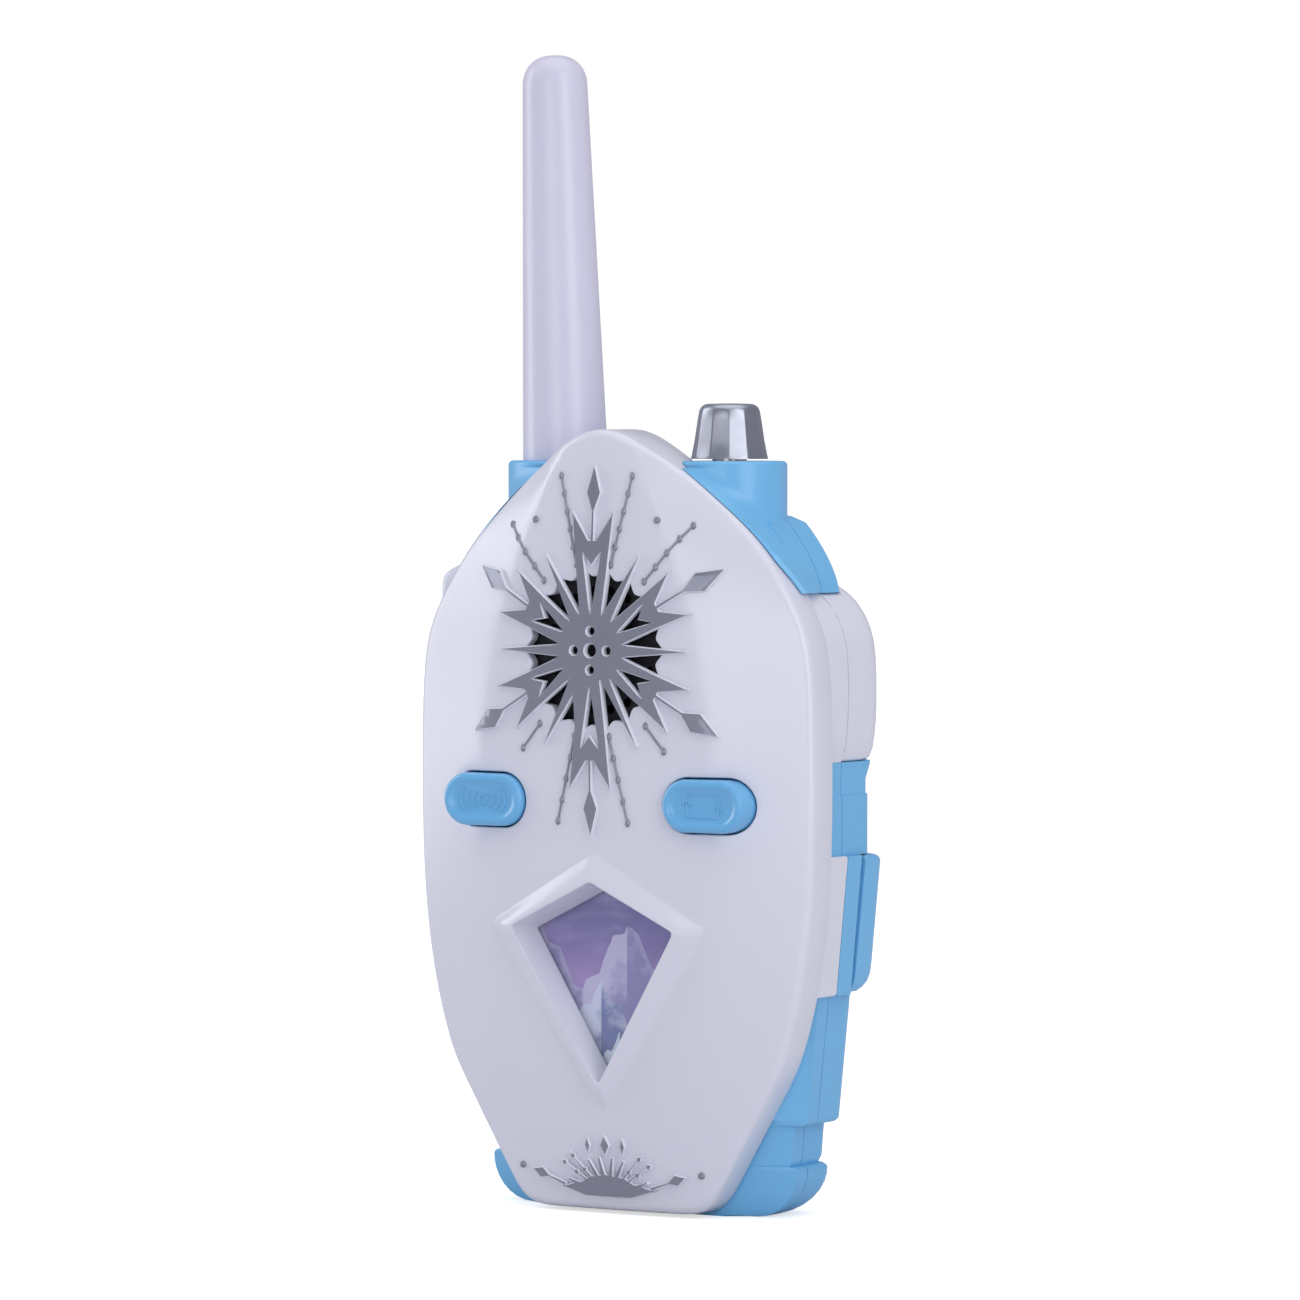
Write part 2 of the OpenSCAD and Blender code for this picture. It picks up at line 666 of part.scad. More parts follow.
// two arrows chasing round a rectangle
module right_button() {
    front_button(1) along_y(button_front, button_front + 0.8) {
        difference() {
            square([6.4, 3.8], center = true);
            square([5.8, 3.2], center = true);
            for (s = [-1, 1]) translate([s * 3, -s * 1.6]) square([1.6, 1], center = true);
        }
        for (s = [-1, 1]) translate([s * 3.05, 0]) rotate(s > 0 ? -90 : 90) circle(r = 0.7, $fn = 3);
    }
}

module plunger(side) {
    color("black") rod_y(side * button_x, button_z, plunger_r, button_back, board_y - 0.5 - button_travel);
}

module left_plunger() { plunger(-1); }
module right_plunger() { plunger(1); }

module tact_switch(side) {
    color("dimgray") translate([side * button_x, 0, button_z]) difference() {
        box(-3, 3, board_y - 2.6, board_y, -3, 3);
        rod_y(0, 0, plunger_bore, board_y - 4, board_y - 0.3);
    }
}

module left_switch() { tact_switch(-1); }
module right_switch() { tact_switch(1); }

talk_travel = 1.6;
talk_out = 40.8;
talk_in = 34.9;

module talk_button() {
    zm = (talk_z0 + talk_z1) / 2;
    color(white) {
        intersection() {
            box(-talk_out, -talk_in, talk_y0, talk_y1, talk_z0, talk_z1);
            along_y(-5, 12) polygon(concat(
                arc(-talk_out + 7, talk_z1 - 9, 9, 180, 90, 8), [[-talk_in, talk_z1 - 0.4]],
                [[-talk_in, talk_z0], [1.4 - talk_out, talk_z0], [-talk_out, talk_z0 + 3]]
            ));
            along_x(-50, -30) translate([(talk_y0 + talk_y1) / 2, zm]) rotate(90)
                stadium(talk_z1 - talk_z0, talk_y1 - talk_y0);
        }
    }
}

module talk_plunger() {
    color("black") along_x(-talk_in, -24.9 - talk_travel)
        translate([talk_plunger_y, talk_plunger_z]) circle(r = talk_plunger_r);
}

module talk_switch() {
    color("dimgray") difference() {
        box(-27.6, -21, board_y + board_t + 0.02, 6.4, 91.5, 98.5);
        along_x(-30, -22) translate([talk_plunger_y, talk_plunger_z]) circle(r = talk_plunger_bore);
    }
}

// ---------- loudspeaker ----------

module about_y(y) {
    translate([0, y, speaker_z]) rotate([90, 0, 0]) children();
}

grille_pitch = 3.4;

module speaker_grille() {
    color("black") difference() {
        rod_y(0, speaker_z, 16.4, -12.9, -12.35);
        for (k = [0 : 3]) for (i = [0 : max(1, 6 * k) - 1])
            let (r = grille_pitch * k, a = i * 60 / max(1, k))
                rod_y(r * cos(a), speaker_z + r * sin(a), 0.8, -14, -12);
    }
}

module speaker_frame() {
    color("dimgray") difference() {
        about_y(0) rotate_extrude() polygon([
            [18, 12.3], [18, 11.2], [15.5, 11.2], [10, 7.6], [7.5, 7.6], [7.5, 8.4], [9.6, 8.4], [15, 12.3]
        ]);
        rod_y(plate_screw_spots[0][0], plate_screw_spots[0][1], plate_boss_r + 0.2, -20, 0);
    }
}

module speaker_cone() {
    color("#2a2a30") about_y(0) rotate_extrude() polygon([
        [0, 11], [0, 10.6], [4, 10.6], [4, 8.6], [9.4, 8.7], [14.8, 12.25],
        [14.2, 12.25], [9.2, 9.1], [4.8, 9.1], [4.4, 11]
    ]);
}

module speaker_magnet() {
    color("silver") about_y(0) translate([0, 0, 4.5]) cylinder(r = 9, h = 3.1);
}

module screw_y(p, y_head, head_r, head_t, shank_r, shank_l) {
    difference() {
        rod_y(p[0], p[1], head_r, y_head - head_t, y_head);
        translate([p[0], y_head - 0.5, p[1]]) for (a = [0, 90]) rotate([0, a, 0])
            cube([head_r * 1.2, 1.2, 0.4], center = true);
    }
    rod_y(p[0], p[1], shank_r, y_head - head_t - shank_l, y_head - head_t + eps);
}

module speaker_screws() {
    color("silver") for (p = speaker_screw_spots) screw_y(p, -10.1, 2.9, 1.08, 0.7, 1.7);
}

// ---------- circuit board ----------

module circuit_board() {
    color("seagreen") difference() {
        along_y(board_y, board_y + board_t)
            polygon(both_sides([[26, 20], [27, 60], [27, 100], [22, 112]]));
        for (p = board_screw_spots) rod_y(p[0], p[1], 1.1, -5, 0);
    }
}

module board_screws() {
    color("silver") for (p = board_screw_spots)
        screw_y(p, board_y + board_t + 1.4, 1.9, 1.38, small_thread_r, 4);
}

module plate_screws() {
    color("silver") for (p = plate_screw_spots) screw_y(p, flange_y + 3.2, 2.2, 1.18, thread_r, 5);
}

module radio_chip() {
    color("#202024") {
        box(-5, 5, board_y + board_t + 0.02, -1.2, 24, 31);
        for (z = [23.1, 31.9], x = [-4.5 : 1.2 : 4.2])
            box(x, x + 0.4, board_y + board_t + 0.02, -2, z - 1, z + 1);
    }
}

module crystal_can() {
    color("silver") translate([10, board_y + board_t + 0.02, 28]) rotate([-90, 0, 0])
        linear_extrude(2) stadium(9, 4);
}

module tuning_coils() {
    color("goldenrod") for (x = [-19, -11], z = [78, 88]) rod_y(x, z, 2.6, board_y + board_t + 0.02, 1.2);
}

module capacitors() {
    color("royalblue") for (p = [[12, 82, 2.4], [18, 90, 2], [6, 88, 2]])
        rod_y(p[0], p[1], p[2], board_y + board_t + 0.02, 3);
}

module lamp() {
    color("white", 0.6) {
        rod_y(0, 42, 1.9, -6.2, board_y - 0.02);
        translate([0, -6.2, 42]) sphere(r = 1.7);
    }
}

// ---------- batteries ----------

module battery_cells() {
    color("#c8cad0") for (i = [0 : 2]) {
        s = i % 2 ? -1 : 1;
        translate([0, cell_y, cell_zs[i]]) {
            along_x(-cell_l / 2 + (s < 0 ? 1 : 0), cell_l / 2 - (s > 0 ? 1 : 0)) circle(r = cell_r);
            along_x(s > 0 ? cell_l / 2 - 1.1 : -cell_l / 2, s > 0 ? cell_l / 2 : -cell_l / 2 + 1.1)
                circle(r = cell_pin_r);
        }
    }
}

// contact springs: a stack of flat turns that narrows towards the cell
module battery_springs() {
    color("silver") for (i = [0 : 2]) {
        s = i % 2 ? 1 : -1;
        translate([0, cell_y, cell_zs[i]]) mirror([s < 0 ? 1 : 0, 0, 0]) {
            along_x(bay_x - 0.5, bay_x - 0.02) square(contact_size, center = true);
            along_x(cell_l / 2 + 1.2, bay_x - 0.4) difference() {
                circle(r = 3);
                circle(r = 2.2);
            }
            along_x(cell_l / 2 + 0.02, cell_l / 2 + 1.3) difference() {
                circle(r = 2.5);
                circle(r = 1.5);
            }
        }
    }
}

module battery_plates() {
    color("silver") for (i = [0 : 2]) {
        s = i % 2 ? 1 : -1;
        translate([0, cell_y, cell_zs[i]]) mirror([s > 0 ? 1 : 0, 0, 0]) {
            along_x(bay_x - 0.5, bay_x - 0.02) square(contact_size, center = true);
            along_x(cell_l / 2 + 0.02, bay_x - 0.4) circle(r = 2.4);
        }
    }
}

module battery_door() {
    color(blue) {
        difference() {
            casing_block([for (q = belt_pts) [q[0], q[1] + (q[1] > shin_top ? -0.2 : 0.2)]], 0,
                back_door_line + gap, back_belt, 5);
            casing_block([[33.4, shin_top + 1], [35.4, belt_top - 2]], 0,
                back_door_line - 1, back_belt - 2, 3.2);
            box(-bay_x - 1.6, bay_x + 1.6, 0, back_belt - 2, belt_top - 4, belt_top + 1);
        }
        difference() {
            box(-door_flap_x, door_flap_x, back_waist - 1.2, back_waist, belt_top - 0.4, 76.5);
            rod_y(0, door_screw_z, 1.4, 0, 20);
        }
        box(-26, 26, back_waist - 1.2, back_belt - 1.9, belt_top - 0.6, belt_top - 0.2);
    }
}

module door_screw() {
    color("silver") screw_y([0, door_screw_z], back_waist + 1.4, 2.3, 1.38, thread_r, 7);
}

module shell_screws() {
    color("silver") for (p = shell_screw_spots) screw_y(p, 9.4, 2.1, 1.38, shell_thread_r, 8.1);
}

front_plate();
snow_crystal();
lower_crystal();
speaker_grille();
window_lens();
picture_card();
light_box();
front_shell();
rear_shell();
left_chest_panel();
right_chest_panel();
left_belt_panel();
right_belt_panel();
rear_saddle();
antenna();
antenna_foot();
antenna_wire();
volume_knob();
volume_shaft();
volume_control();
left_button();
right_button();
left_plunger();
right_plunger();
left_switch();
right_switch();
talk_button();
talk_plunger();
talk_switch();
speaker_frame();
speaker_cone();
speaker_magnet();
speaker_screws();
circuit_board();
board_screws();
plate_screws();
radio_chip();
crystal_can();
tuning_coils();
capacitors();
lamp();
battery_cells();
battery_springs();
battery_plates();
battery_door();
door_screw();
shell_screws();
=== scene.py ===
"""Toy walkie talkie: the looks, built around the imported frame.

Every size is in millimetres in the frame's own axes (+X right, +Y to the back, +Z up) and is
turned to metres only when a mesh is made.
"""

import logging
from dataclasses import dataclass, field
from enum import Enum
from math import acos, atan2, ceil, copysign, cos, hypot, pi, radians, sin, sqrt
from typing import Iterable, Sequence

import bmesh
import bpy
import numpy as np
from bpy.types import Material, Mesh, Modifier, Node, NodeSocket, NodeTree, Object
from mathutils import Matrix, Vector, geometry


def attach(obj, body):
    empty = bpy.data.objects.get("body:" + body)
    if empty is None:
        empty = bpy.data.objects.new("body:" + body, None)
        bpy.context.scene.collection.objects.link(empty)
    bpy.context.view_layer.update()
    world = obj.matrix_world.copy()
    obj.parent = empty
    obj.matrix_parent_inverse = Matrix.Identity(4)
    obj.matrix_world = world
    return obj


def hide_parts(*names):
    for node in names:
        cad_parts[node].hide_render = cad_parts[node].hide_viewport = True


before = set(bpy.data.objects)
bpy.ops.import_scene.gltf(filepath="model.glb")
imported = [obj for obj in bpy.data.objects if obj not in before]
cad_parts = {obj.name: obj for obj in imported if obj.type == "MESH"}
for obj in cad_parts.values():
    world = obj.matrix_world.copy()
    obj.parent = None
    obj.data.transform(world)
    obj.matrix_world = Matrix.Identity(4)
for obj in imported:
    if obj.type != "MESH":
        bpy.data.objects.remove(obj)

MM = 0.001
log = logging.getLogger("walkie_talkie")
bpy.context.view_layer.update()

Point = tuple[float, float, float]
Rows = list[list[Point]]
Flat = tuple[float, float]
Outline = list[Flat]
Box = tuple[float, float, float, float, float, float]

# places that several sub-assemblies share, in millimetres
SPEAKER_Z = 96.6
KEY_X, KEY_Z = 22.1, 70.7
UPPER_SHELL_SCREW, LOWER_SHELL_SCREW = (27.2, 108.5), (22.5, 12.0)
DOOR_SCREW = (0.0, 74.4)


# ---- small tools ----


def srgb(code: str, alpha: float = 1.0) -> tuple[float, float, float, float]:
    """Turns an sRGB hex colour into linear light.

    Args:
        code: six hex digits after a hash sign.
        alpha: the fourth value, kept as it is.

    Returns:
        Red, green, blue and alpha as Blender's sockets take them.
    """
    parts = [int(code[i : i + 2], 16) / 255 for i in (1, 3, 5)]
    linear = [c / 12.92 if c <= 0.04045 else ((c + 0.055) / 1.055) ** 2.4 for c in parts]
    return (linear[0], linear[1], linear[2], alpha)


def mix(a: float, b: float, t: float) -> float:
    """Straight blend from a to b."""
    return a + (b - a) * t


def sin_cos(degrees: float) -> tuple[float, float]:
    """Sine and cosine of an angle in degrees."""
    return sin(radians(degrees)), cos(radians(degrees))


def smooth(t: float) -> float:
    """Soft step from 0 to 1."""
    t = min(1.0, max(0.0, t))
    return t * t * (3 - 2 * t)


def add_node(
    tree: NodeTree, kind: str, inputs: dict | None = None, **settings: object
) -> Node:
    """Adds one node with its settings, values and links.

    Args:
        tree: the node tree that gets the node.
        kind: the node's Blender type name.
        inputs: input name or index to a value, or to a socket that feeds it.
        settings: attributes of the node.

    Returns:
        The new node.
    """
    made = tree.nodes.new(kind)
    for key, value in settings.items():
        setattr(made, key, value)
    for key, value in (inputs or {}).items():
        if isinstance(value, NodeSocket):
            tree.links.new(value, made.inputs[key])
        else:
            made.inputs[key].default_value = value
    return made


def new_material(name: str) -> tuple[Material, NodeTree]:
    """Makes an empty node material.

    Args:
        name: the material's name.

    Returns:
        The material and its node tree.
    """
    material = bpy.data.materials.new(name)
    material.use_nodes = True
    material.node_tree.nodes.clear()
    return material, material.node_tree


def close_material(tree: NodeTree, shader: Node) -> None:
    """Links a shader to the material's output."""
    add_node(tree, "ShaderNodeOutputMaterial", {"Surface": shader.outputs[0]})


# ---- finishes ----


@dataclass(frozen=True)
class MouldedPlastic:
    """Injection-moulded plastic: an even colour with a faint mottle and orange peel in its gloss."""

    name: str
    colour: str
    roughness: float = 0.3
    ior: float = 1.53
    mottle: float = 0.02
    mottle_mm: float = 14.0
    peel_mm: float = 1.6
    peel: float = 0.02
    grain_mm: float = 0.25
    grain: float = 0.0
    glow: float = 0.0

    def build(self) -> Material:
        """Makes the material."""
        material, tree = new_material(self.name)
        place = add_node(tree, "ShaderNodeTexCoord").outputs["Object"]
        patches = add_node(
            tree, "ShaderNodeTexNoise", {"Vector": place, "Scale": 1 / (self.mottle_mm * MM), "Detail": 3.0}
        )
        base = srgb(self.colour)
        dark = tuple(c * (1 - self.mottle) for c in base[:3]) + (1.0,)
        light = tuple(min(1.0, c * (1 + self.mottle)) for c in base[:3]) + (1.0,)
        tint = add_node(
            tree, "ShaderNodeMix", {0: patches.outputs["Fac"], 6: dark, 7: light}, data_type="RGBA"
        )
        peel = add_node(
            tree, "ShaderNodeTexNoise", {"Vector": place, "Scale": 1 / (self.peel_mm * MM), "Detail": 1.0}
        )
        wave = add_node(
            tree,
            "ShaderNodeBump",
            {"Height": peel.outputs["Fac"], "Strength": self.peel, "Distance": 0.1 * MM},
        )
        normal = wave.outputs[0]
        if self.grain > 0:
            speck = add_node(
                tree,
                "ShaderNodeTexNoise",
                {"Vector": place, "Scale": 1 / (self.grain_mm * MM), "Detail": 2.0},
            )
            normal = add_node(
                tree,
                "ShaderNodeBump",
                {
                    "Height": speck.outputs["Fac"],
                    "Normal": normal,
                    "Strength": self.grain,
                    "Distance": 0.05 * MM,
                },
            ).outputs[0]
        gloss = add_node(
            tree,
            "ShaderNodeMapRange",
            {
                "Value": patches.outputs["Fac"],
                "To Min": self.roughness * 0.88,
                "To Max": self.roughness * 1.12,
            },
        )
        shader = add_node(
            tree,
            "ShaderNodeBsdfPrincipled",
            {
                "Base Color": tint.outputs[2],
                "Roughness": gloss.outputs[0],
                "IOR": self.ior,
                "Normal": normal,
                "Subsurface Weight": self.glow,
                "Subsurface Radius": (1.0, 0.9, 1.0),
                "Subsurface Scale": 1.2 * MM,
            },
        )
        close_material(tree, shader)
        return material


@dataclass(frozen=True)
class MetalFinish:
    """Bare, plated or metal-flake surface with fine grain, seen as a soft sparkle."""

    name: str
    colour: str
    roughness: float
    metallic: float = 1.0
    grain_mm: float = 0.3
    grain: float = 0.1
    tone: float = 0.06

    def build(self) -> Material:
        """Makes the material."""
        material, tree = new_material(self.name)
        place = add_node(tree, "ShaderNodeTexCoord").outputs["Object"]
        flake = add_node(
            tree, "ShaderNodeTexNoise", {"Vector": place, "Scale": 1 / (self.grain_mm * MM), "Detail": 4.0}
        )
        base = srgb(self.colour)
        dark = tuple(c * (1 - self.tone) for c in base[:3]) + (1.0,)
        light = tuple(min(1.0, c * (1 + self.tone)) for c in base[:3]) + (1.0,)
        tint = add_node(
            tree, "ShaderNodeMix", {0: flake.outputs["Fac"], 6: dark, 7: light}, data_type="RGBA"
        )
        gloss = add_node(
            tree,
            "ShaderNodeMapRange",
            {"Value": flake.outputs["Fac"], "To Min": self.roughness * 0.8, "To Max": self.roughness * 1.2},
        )
        bump = add_node(
            tree,
            "ShaderNodeBump",
            {"Height": flake.outputs["Fac"], "Strength": self.grain, "Distance": 0.05 * MM},
        )
        shader = add_node(
            tree,
            "ShaderNodeBsdfPrincipled",
            {
                "Base Color": tint.outputs[2],
                "Roughness": gloss.outputs[0],
                "Metallic": self.metallic,
                "Normal": bump.outputs[0],
            },
        )
        close_material(tree, shader)
        return material


@dataclass(frozen=True)
class ClearSheet:
    """Clear polished acrylic sheet: almost unseen, apart from its gloss."""

    name: str
    alpha: float = 0.1
    roughness: float = 0.06
    ior: float = 1.49

    def build(self) -> Material:
        """Makes the material."""
        material, tree = new_material(self.name)
        place = add_node(tree, "ShaderNodeTexCoord").outputs["Object"]
        haze = add_node(tree, "ShaderNodeTexNoise", {"Vector": place, "Scale": 200.0, "Detail": 2.0})
        gloss = add_node(
            tree,
            "ShaderNodeMapRange",
            {"Value": haze.outputs["Fac"], "To Min": self.roughness * 0.7, "To Max": self.roughness * 1.3},
        )
        shader = add_node(
            tree,
            "ShaderNodeBsdfPrincipled",
            {
                "Base Color": srgb("#f4f6ff"),
                "Roughness": gloss.outputs[0],
                "IOR": self.ior,
                "Alpha": self.alpha,
            },
        )
        close_material(tree, shader)
        return material


@dataclass(frozen=True)
class PrintedLandscape:
    """Gloss print of a made-up winter evening: violet sky, soft cloud and three snowy ridges."""

    name: str
    low_mm: float
    high_mm: float

    def build(self) -> Material:
        """Makes the material."""
        material, tree = new_material(self.name)
        place = add_node(tree, "ShaderNodeTexCoord").outputs["Object"]
        parts = add_node(tree, "ShaderNodeSeparateXYZ", {0: place})
        x, z = parts.outputs[0], parts.outputs[2]

        def sums(operation: str, a: object, b: object) -> NodeSocket:
            """One arithmetic step."""
            return add_node(tree, "ShaderNodeMath", {0: a, 1: b}, operation=operation).outputs[0]

        height = add_node(
            tree,
            "ShaderNodeMapRange",
            {"Value": z, 1: self.low_mm * MM, 2: self.high_mm * MM, 3: 0.0, 4: 1.0},
        )
        sky = add_node(tree, "ShaderNodeValToRGB", {0: height.outputs[0]})
        stops = [(0.0, "#3f62b8"), (0.5, "#9a78c0"), (0.66, "#6c52a8"), (0.82, "#453f9a"), (1.0, "#34338a")]
        while len(sky.color_ramp.elements) < len(stops):
            sky.color_ramp.elements.new(0.5)
        for stop, (at, code) in zip(sky.color_ramp.elements, stops):
            stop.position = at
            stop.color = srgb(code)
        squeeze = add_node(tree, "ShaderNodeMapping", {"Vector": place, "Scale": (1.0, 1.0, 2.2)})
        cloud = add_node(
            tree,
            "ShaderNodeTexNoise",
            {"Vector": squeeze.outputs[0], "Scale": 90.0, "Detail": 6.0, "Roughness": 0.58},
        )
        veil = add_node(
            tree, "ShaderNodeMapRange", {"Value": cloud.outputs["Fac"], 1: 0.47, 2: 0.66, 3: 0.0, 4: 0.6}
        )
        colour = add_node(
            tree,
            "ShaderNodeMix",
            {0: veil.outputs[0], 6: sky.outputs[0], 7: srgb("#9a88c8")},
            data_type="RGBA",
        ).outputs[2]
        rough = add_node(
            tree, "ShaderNodeTexNoise", {"Vector": place, "Scale": 330.0, "Detail": 5.0, "Roughness": 0.6}
        )
        # base and reach in mm, period in mm, offset in mm, shaded rock and sunlit snow
        ridges = (
            (37.0, 1.35, 9.0, 60.0, "#7f78b8", "#c3bde2"),
            (30.0, 1.25, 7.0, 65.2, "#4b63a8", "#d3daf1"),
            (23.5, 1.15, 5.6, 71.3, "#2f4f94", "#dce8f8"),
        )
        for base, steep, span, offset, shade, snow in ridges:
            along = sums("ADD", x, offset * MM)
            peaks = sums("MULTIPLY", sums("PINGPONG", along, span * MM), steep)
            crags = sums("MULTIPLY", sums("PINGPONG", along, span * 0.29 * MM), 0.8)
            jag = sums("MULTIPLY", sums("SUBTRACT", rough.outputs["Fac"], 0.5), 3.2 * MM)
            top = sums("ADD", sums("ADD", peaks, crags), sums("ADD", jag, base * MM))
            under = sums("SUBTRACT", top, z)
            lee = sums("GREATER_THAN", sums("MODULO", along, 2 * span * MM), span * MM)
            slope = sums("ADD", sums("MULTIPLY", lee, 0.45), sums("MULTIPLY", under, 45.0))
            bare = add_node(
                tree,
                "ShaderNodeMapRange",
                {"Value": sums("ADD", slope, rough.outputs["Fac"]), 1: 0.7, 2: 1.15, 3: 0.0, 4: 1.0},
            )
            rock = add_node(
                tree, "ShaderNodeMix", {0: bare.outputs[0], 6: srgb(snow), 7: srgb(shade)}, data_type="RGBA"
            )
            colour = add_node(
                tree,
                "ShaderNodeMix",
                {0: sums("GREATER_THAN", under, 0.0), 6: colour, 7: rock.outputs[2]},
                data_type="RGBA",
            ).outputs[2]
        shader = add_node(
            tree, "ShaderNodeBsdfPrincipled", {"Base Color": colour, "Roughness": 0.35, "IOR": 1.5}
        )
        close_material(tree, shader)
        return material


class Finish(Enum):
    """The finishes of this radio, each named for the real material and how it was made."""

    # glossy ABS: wide, soft-edged highlights on a faintly lavender white
    WHITE_ABS = MouldedPlastic("moulded_white_abs", "#d7d8e3", roughness=0.23, glow=0.06)
    # the face's clear-coated ABS, a little glossier and cooler
    FACE_ABS = MouldedPlastic("polished_face_abs", "#d5d6e2", roughness=0.22, mottle=0.012, glow=0.06)
    # soft antenna sleeve: warmer and duller
    SLEEVE = MouldedPlastic("soft_antenna_elastomer", "#cfcddf", roughness=0.33, glow=0.08)
    # sky-blue ABS: saturated, satin
    BLUE_ABS = MouldedPlastic("moulded_sky_blue_abs", "#6db3e1", roughness=0.33, glow=0.05)
    # button caps: a shade deeper and smoother
    BLUE_CAP = MouldedPlastic("moulded_blue_key_abs", "#69aede", roughness=0.22, glow=0.05)
    # fine matt black mouldings, seen only in gaps
    BLACK_ABS = MouldedPlastic("spark_textured_black_abs", "#15161c", roughness=0.55, grain=0.25)
    # metal-flake paint over the raised crystals: dull silver that sparkles in its grain
    SILVER_PAINT = MetalFinish(
        "metal_flake_silver_paint", "#9093a0", 0.42, metallic=0.85, grain=0.35, tone=0.1
    )
    # vacuum-plated knob: bright, slightly grey mirror
    PLATED = MetalFinish("vacuum_plated_abs", "#a2a5b0", 0.35, grain=0.03, grain_mm=1.2, tone=0.02)
    # zinc-plated screw steel
    ZINC_STEEL = MetalFinish("zinc_plated_steel", "#c2c4c8", 0.38)
    # nickel-plated contacts
    NICKEL = MetalFinish("nickel_plated_contact", "#d2cec4", 0.22)
    # lacquered brass and copper turns
    BRASS = MetalFinish("lacquered_brass", "#c79f57", 0.38)
    # printed steel jacket of the cells
    CELL_JACKET = MetalFinish("printed_cell_jacket", "#8d949f", 0.35, metallic=0.6, grain=0.02)
    # clear window
    CLEAR = ClearSheet("clear_acrylic_sheet")
    # solder-masked board
    BOARD = MouldedPlastic("solder_masked_laminate", "#1f6b3c", roughness=0.35, mottle=0.12, mottle_mm=3.0)
    # moulded chip resin
    RESIN = MouldedPlastic("chip_moulding_resin", "#191a1d", roughness=0.5, grain=0.3)
    # pressed black cone paper
    CONE = MouldedPlastic("pressed_cone_paper", "#1b1b20", roughness=0.8, grain=0.6, mottle=0.1)
    # capacitor sleeves
    SLEEVE_BLUE = MouldedPlastic("shrunk_capacitor_sleeve", "#24407e", roughness=0.3)
    # clear lamp resin
    LAMP = ClearSheet("cast_lamp_resin", alpha=0.6)


MATERIALS: dict[Finish, Material] = {}


def material_of(finish: Finish) -> Material:
    """Builds a finish once and returns its material from then on."""
    if finish not in MATERIALS:
        MATERIALS[finish] = finish.value.build()
    return MATERIALS[finish]


# ---- mesh making ----


@dataclass
class MeshParts:
    """Vertices in millimetres and faces, gathered before they become one mesh."""

    verts: list[Point] = field(default_factory=list)
    faces: list[list[int]] = field(default_factory=list)

    def add(self, verts: Iterable[Sequence[float]], faces: Iterable[Sequence[int]]) -> None:
        """Adds a loose part."""
        start = len(self.verts)
        self.verts.extend(tuple(v) for v in verts)
        self.faces.extend([start + i for i in f] for f in faces)

    def loft(self, rows: Rows, ring: bool = True, cap_first: bool = False, cap_last: bool = False) -> None:
        """Skins a list of equally long rows.

        Args:
            rows: the rows of points, in order.
            ring: whether each row closes on itself.
            cap_first: whether the first row is filled.
            cap_last: whether the last row is filled.
        """
        n = len(rows[0])
        span = n if ring else n - 1
        faces: list[list[int]] = []
        for r in range(len(rows) - 1):
            for c in range(span):
                a, b = r * n + c, r * n + (c + 1) % n
                faces.append([a, b, b + n, a + n])
        if cap_first:
            faces.append(list(range(n))[::-1])
        if cap_last:
            last = (len(rows) - 1) * n
            faces.append(list(range(last, last + n)))
        self.add([p for row in rows for p in row], faces)


def to_mesh(name: str, parts: MeshParts, merge_mm: float = 0.001, outward: bool = True) -> Mesh:
    """Turns gathered parts into a merged mesh with outward faces.

    Args:
        name: the mesh's name.
        parts: vertices in millimetres and faces.
        merge_mm: points closer than this become one.
        outward: whether faces are turned outwards.

    Returns:
        The mesh, in metres.
    """
    mesh = bpy.data.meshes.new(name)
    mesh.from_pydata([tuple(c * MM for c in v) for v in parts.verts], [], parts.faces)
    work = bmesh.new()
    work.from_mesh(mesh)
    bmesh.ops.remove_doubles(work, verts=work.verts, dist=merge_mm * MM)
    bmesh.ops.dissolve_degenerate(work, edges=work.edges, dist=merge_mm * MM)
    if outward:
        bmesh.ops.recalc_face_normals(work, faces=work.faces)
    work.to_mesh(mesh)
    work.free()
    return mesh


def put(name: str, mesh: Mesh) -> Object:
    """Links a mesh as an object at the origin."""
    made = bpy.data.objects.new(name, mesh)
    bpy.context.scene.collection.objects.link(made)
    return made


def shaped(name: str, parts: MeshParts, merge_mm: float = 0.001, outward: bool = True) -> Object:
    """Makes an object of gathered parts."""
    return put(name, to_mesh(name, parts, merge_mm, outward))


def skinned(name: str, rows: Rows) -> Object:
    """Makes a closed solid through rows of points."""
    parts = MeshParts()
    parts.loft(rows, cap_first=True, cap_last=True)
    return shaped(name, parts)


def modify(obj: Object, kind: str, **settings: object) -> Modifier:
    """Adds a modifier with its settings.

    Args:
        obj: the object that gets it.
        kind: the modifier's Blender type.
        settings: its attributes.

    Returns:
        The new modifier.
    """
    mod = obj.modifiers.new(kind.lower(), kind)
    for key, value in settings.items():
        setattr(mod, key, value)
    return mod


def bake(obj: Object) -> Mesh:
    """Turns an object's modifiers into its plain mesh.

    Args:
        obj: the object, left with no modifiers.

    Returns:
        Its new mesh.
    """
    depsgraph = bpy.context.evaluated_depsgraph_get()
    depsgraph.update()
    plain = bpy.data.meshes.new_from_object(obj.evaluated_get(depsgraph))
    obj.modifiers.clear()
    obj.data = plain
    return plain


def freeze(obj: Object, sharp_deg: float = 38.0) -> Object:
    """Bakes an object's modifiers and shades it smooth up to an angle.

    Args:
        obj: the object.
        sharp_deg: edges sharper than this stay sharp.

    Returns:
        The same object.
    """
    plain = bake(obj)
    plain.shade_smooth()
    plain.set_sharp_from_angle(angle=radians(sharp_deg))
    return obj


def dress(obj: Object, finish: Finish) -> Object:
    """Gives an object one material."""
    obj.data.materials.clear()
    obj.data.materials.append(material_of(finish))
    return obj


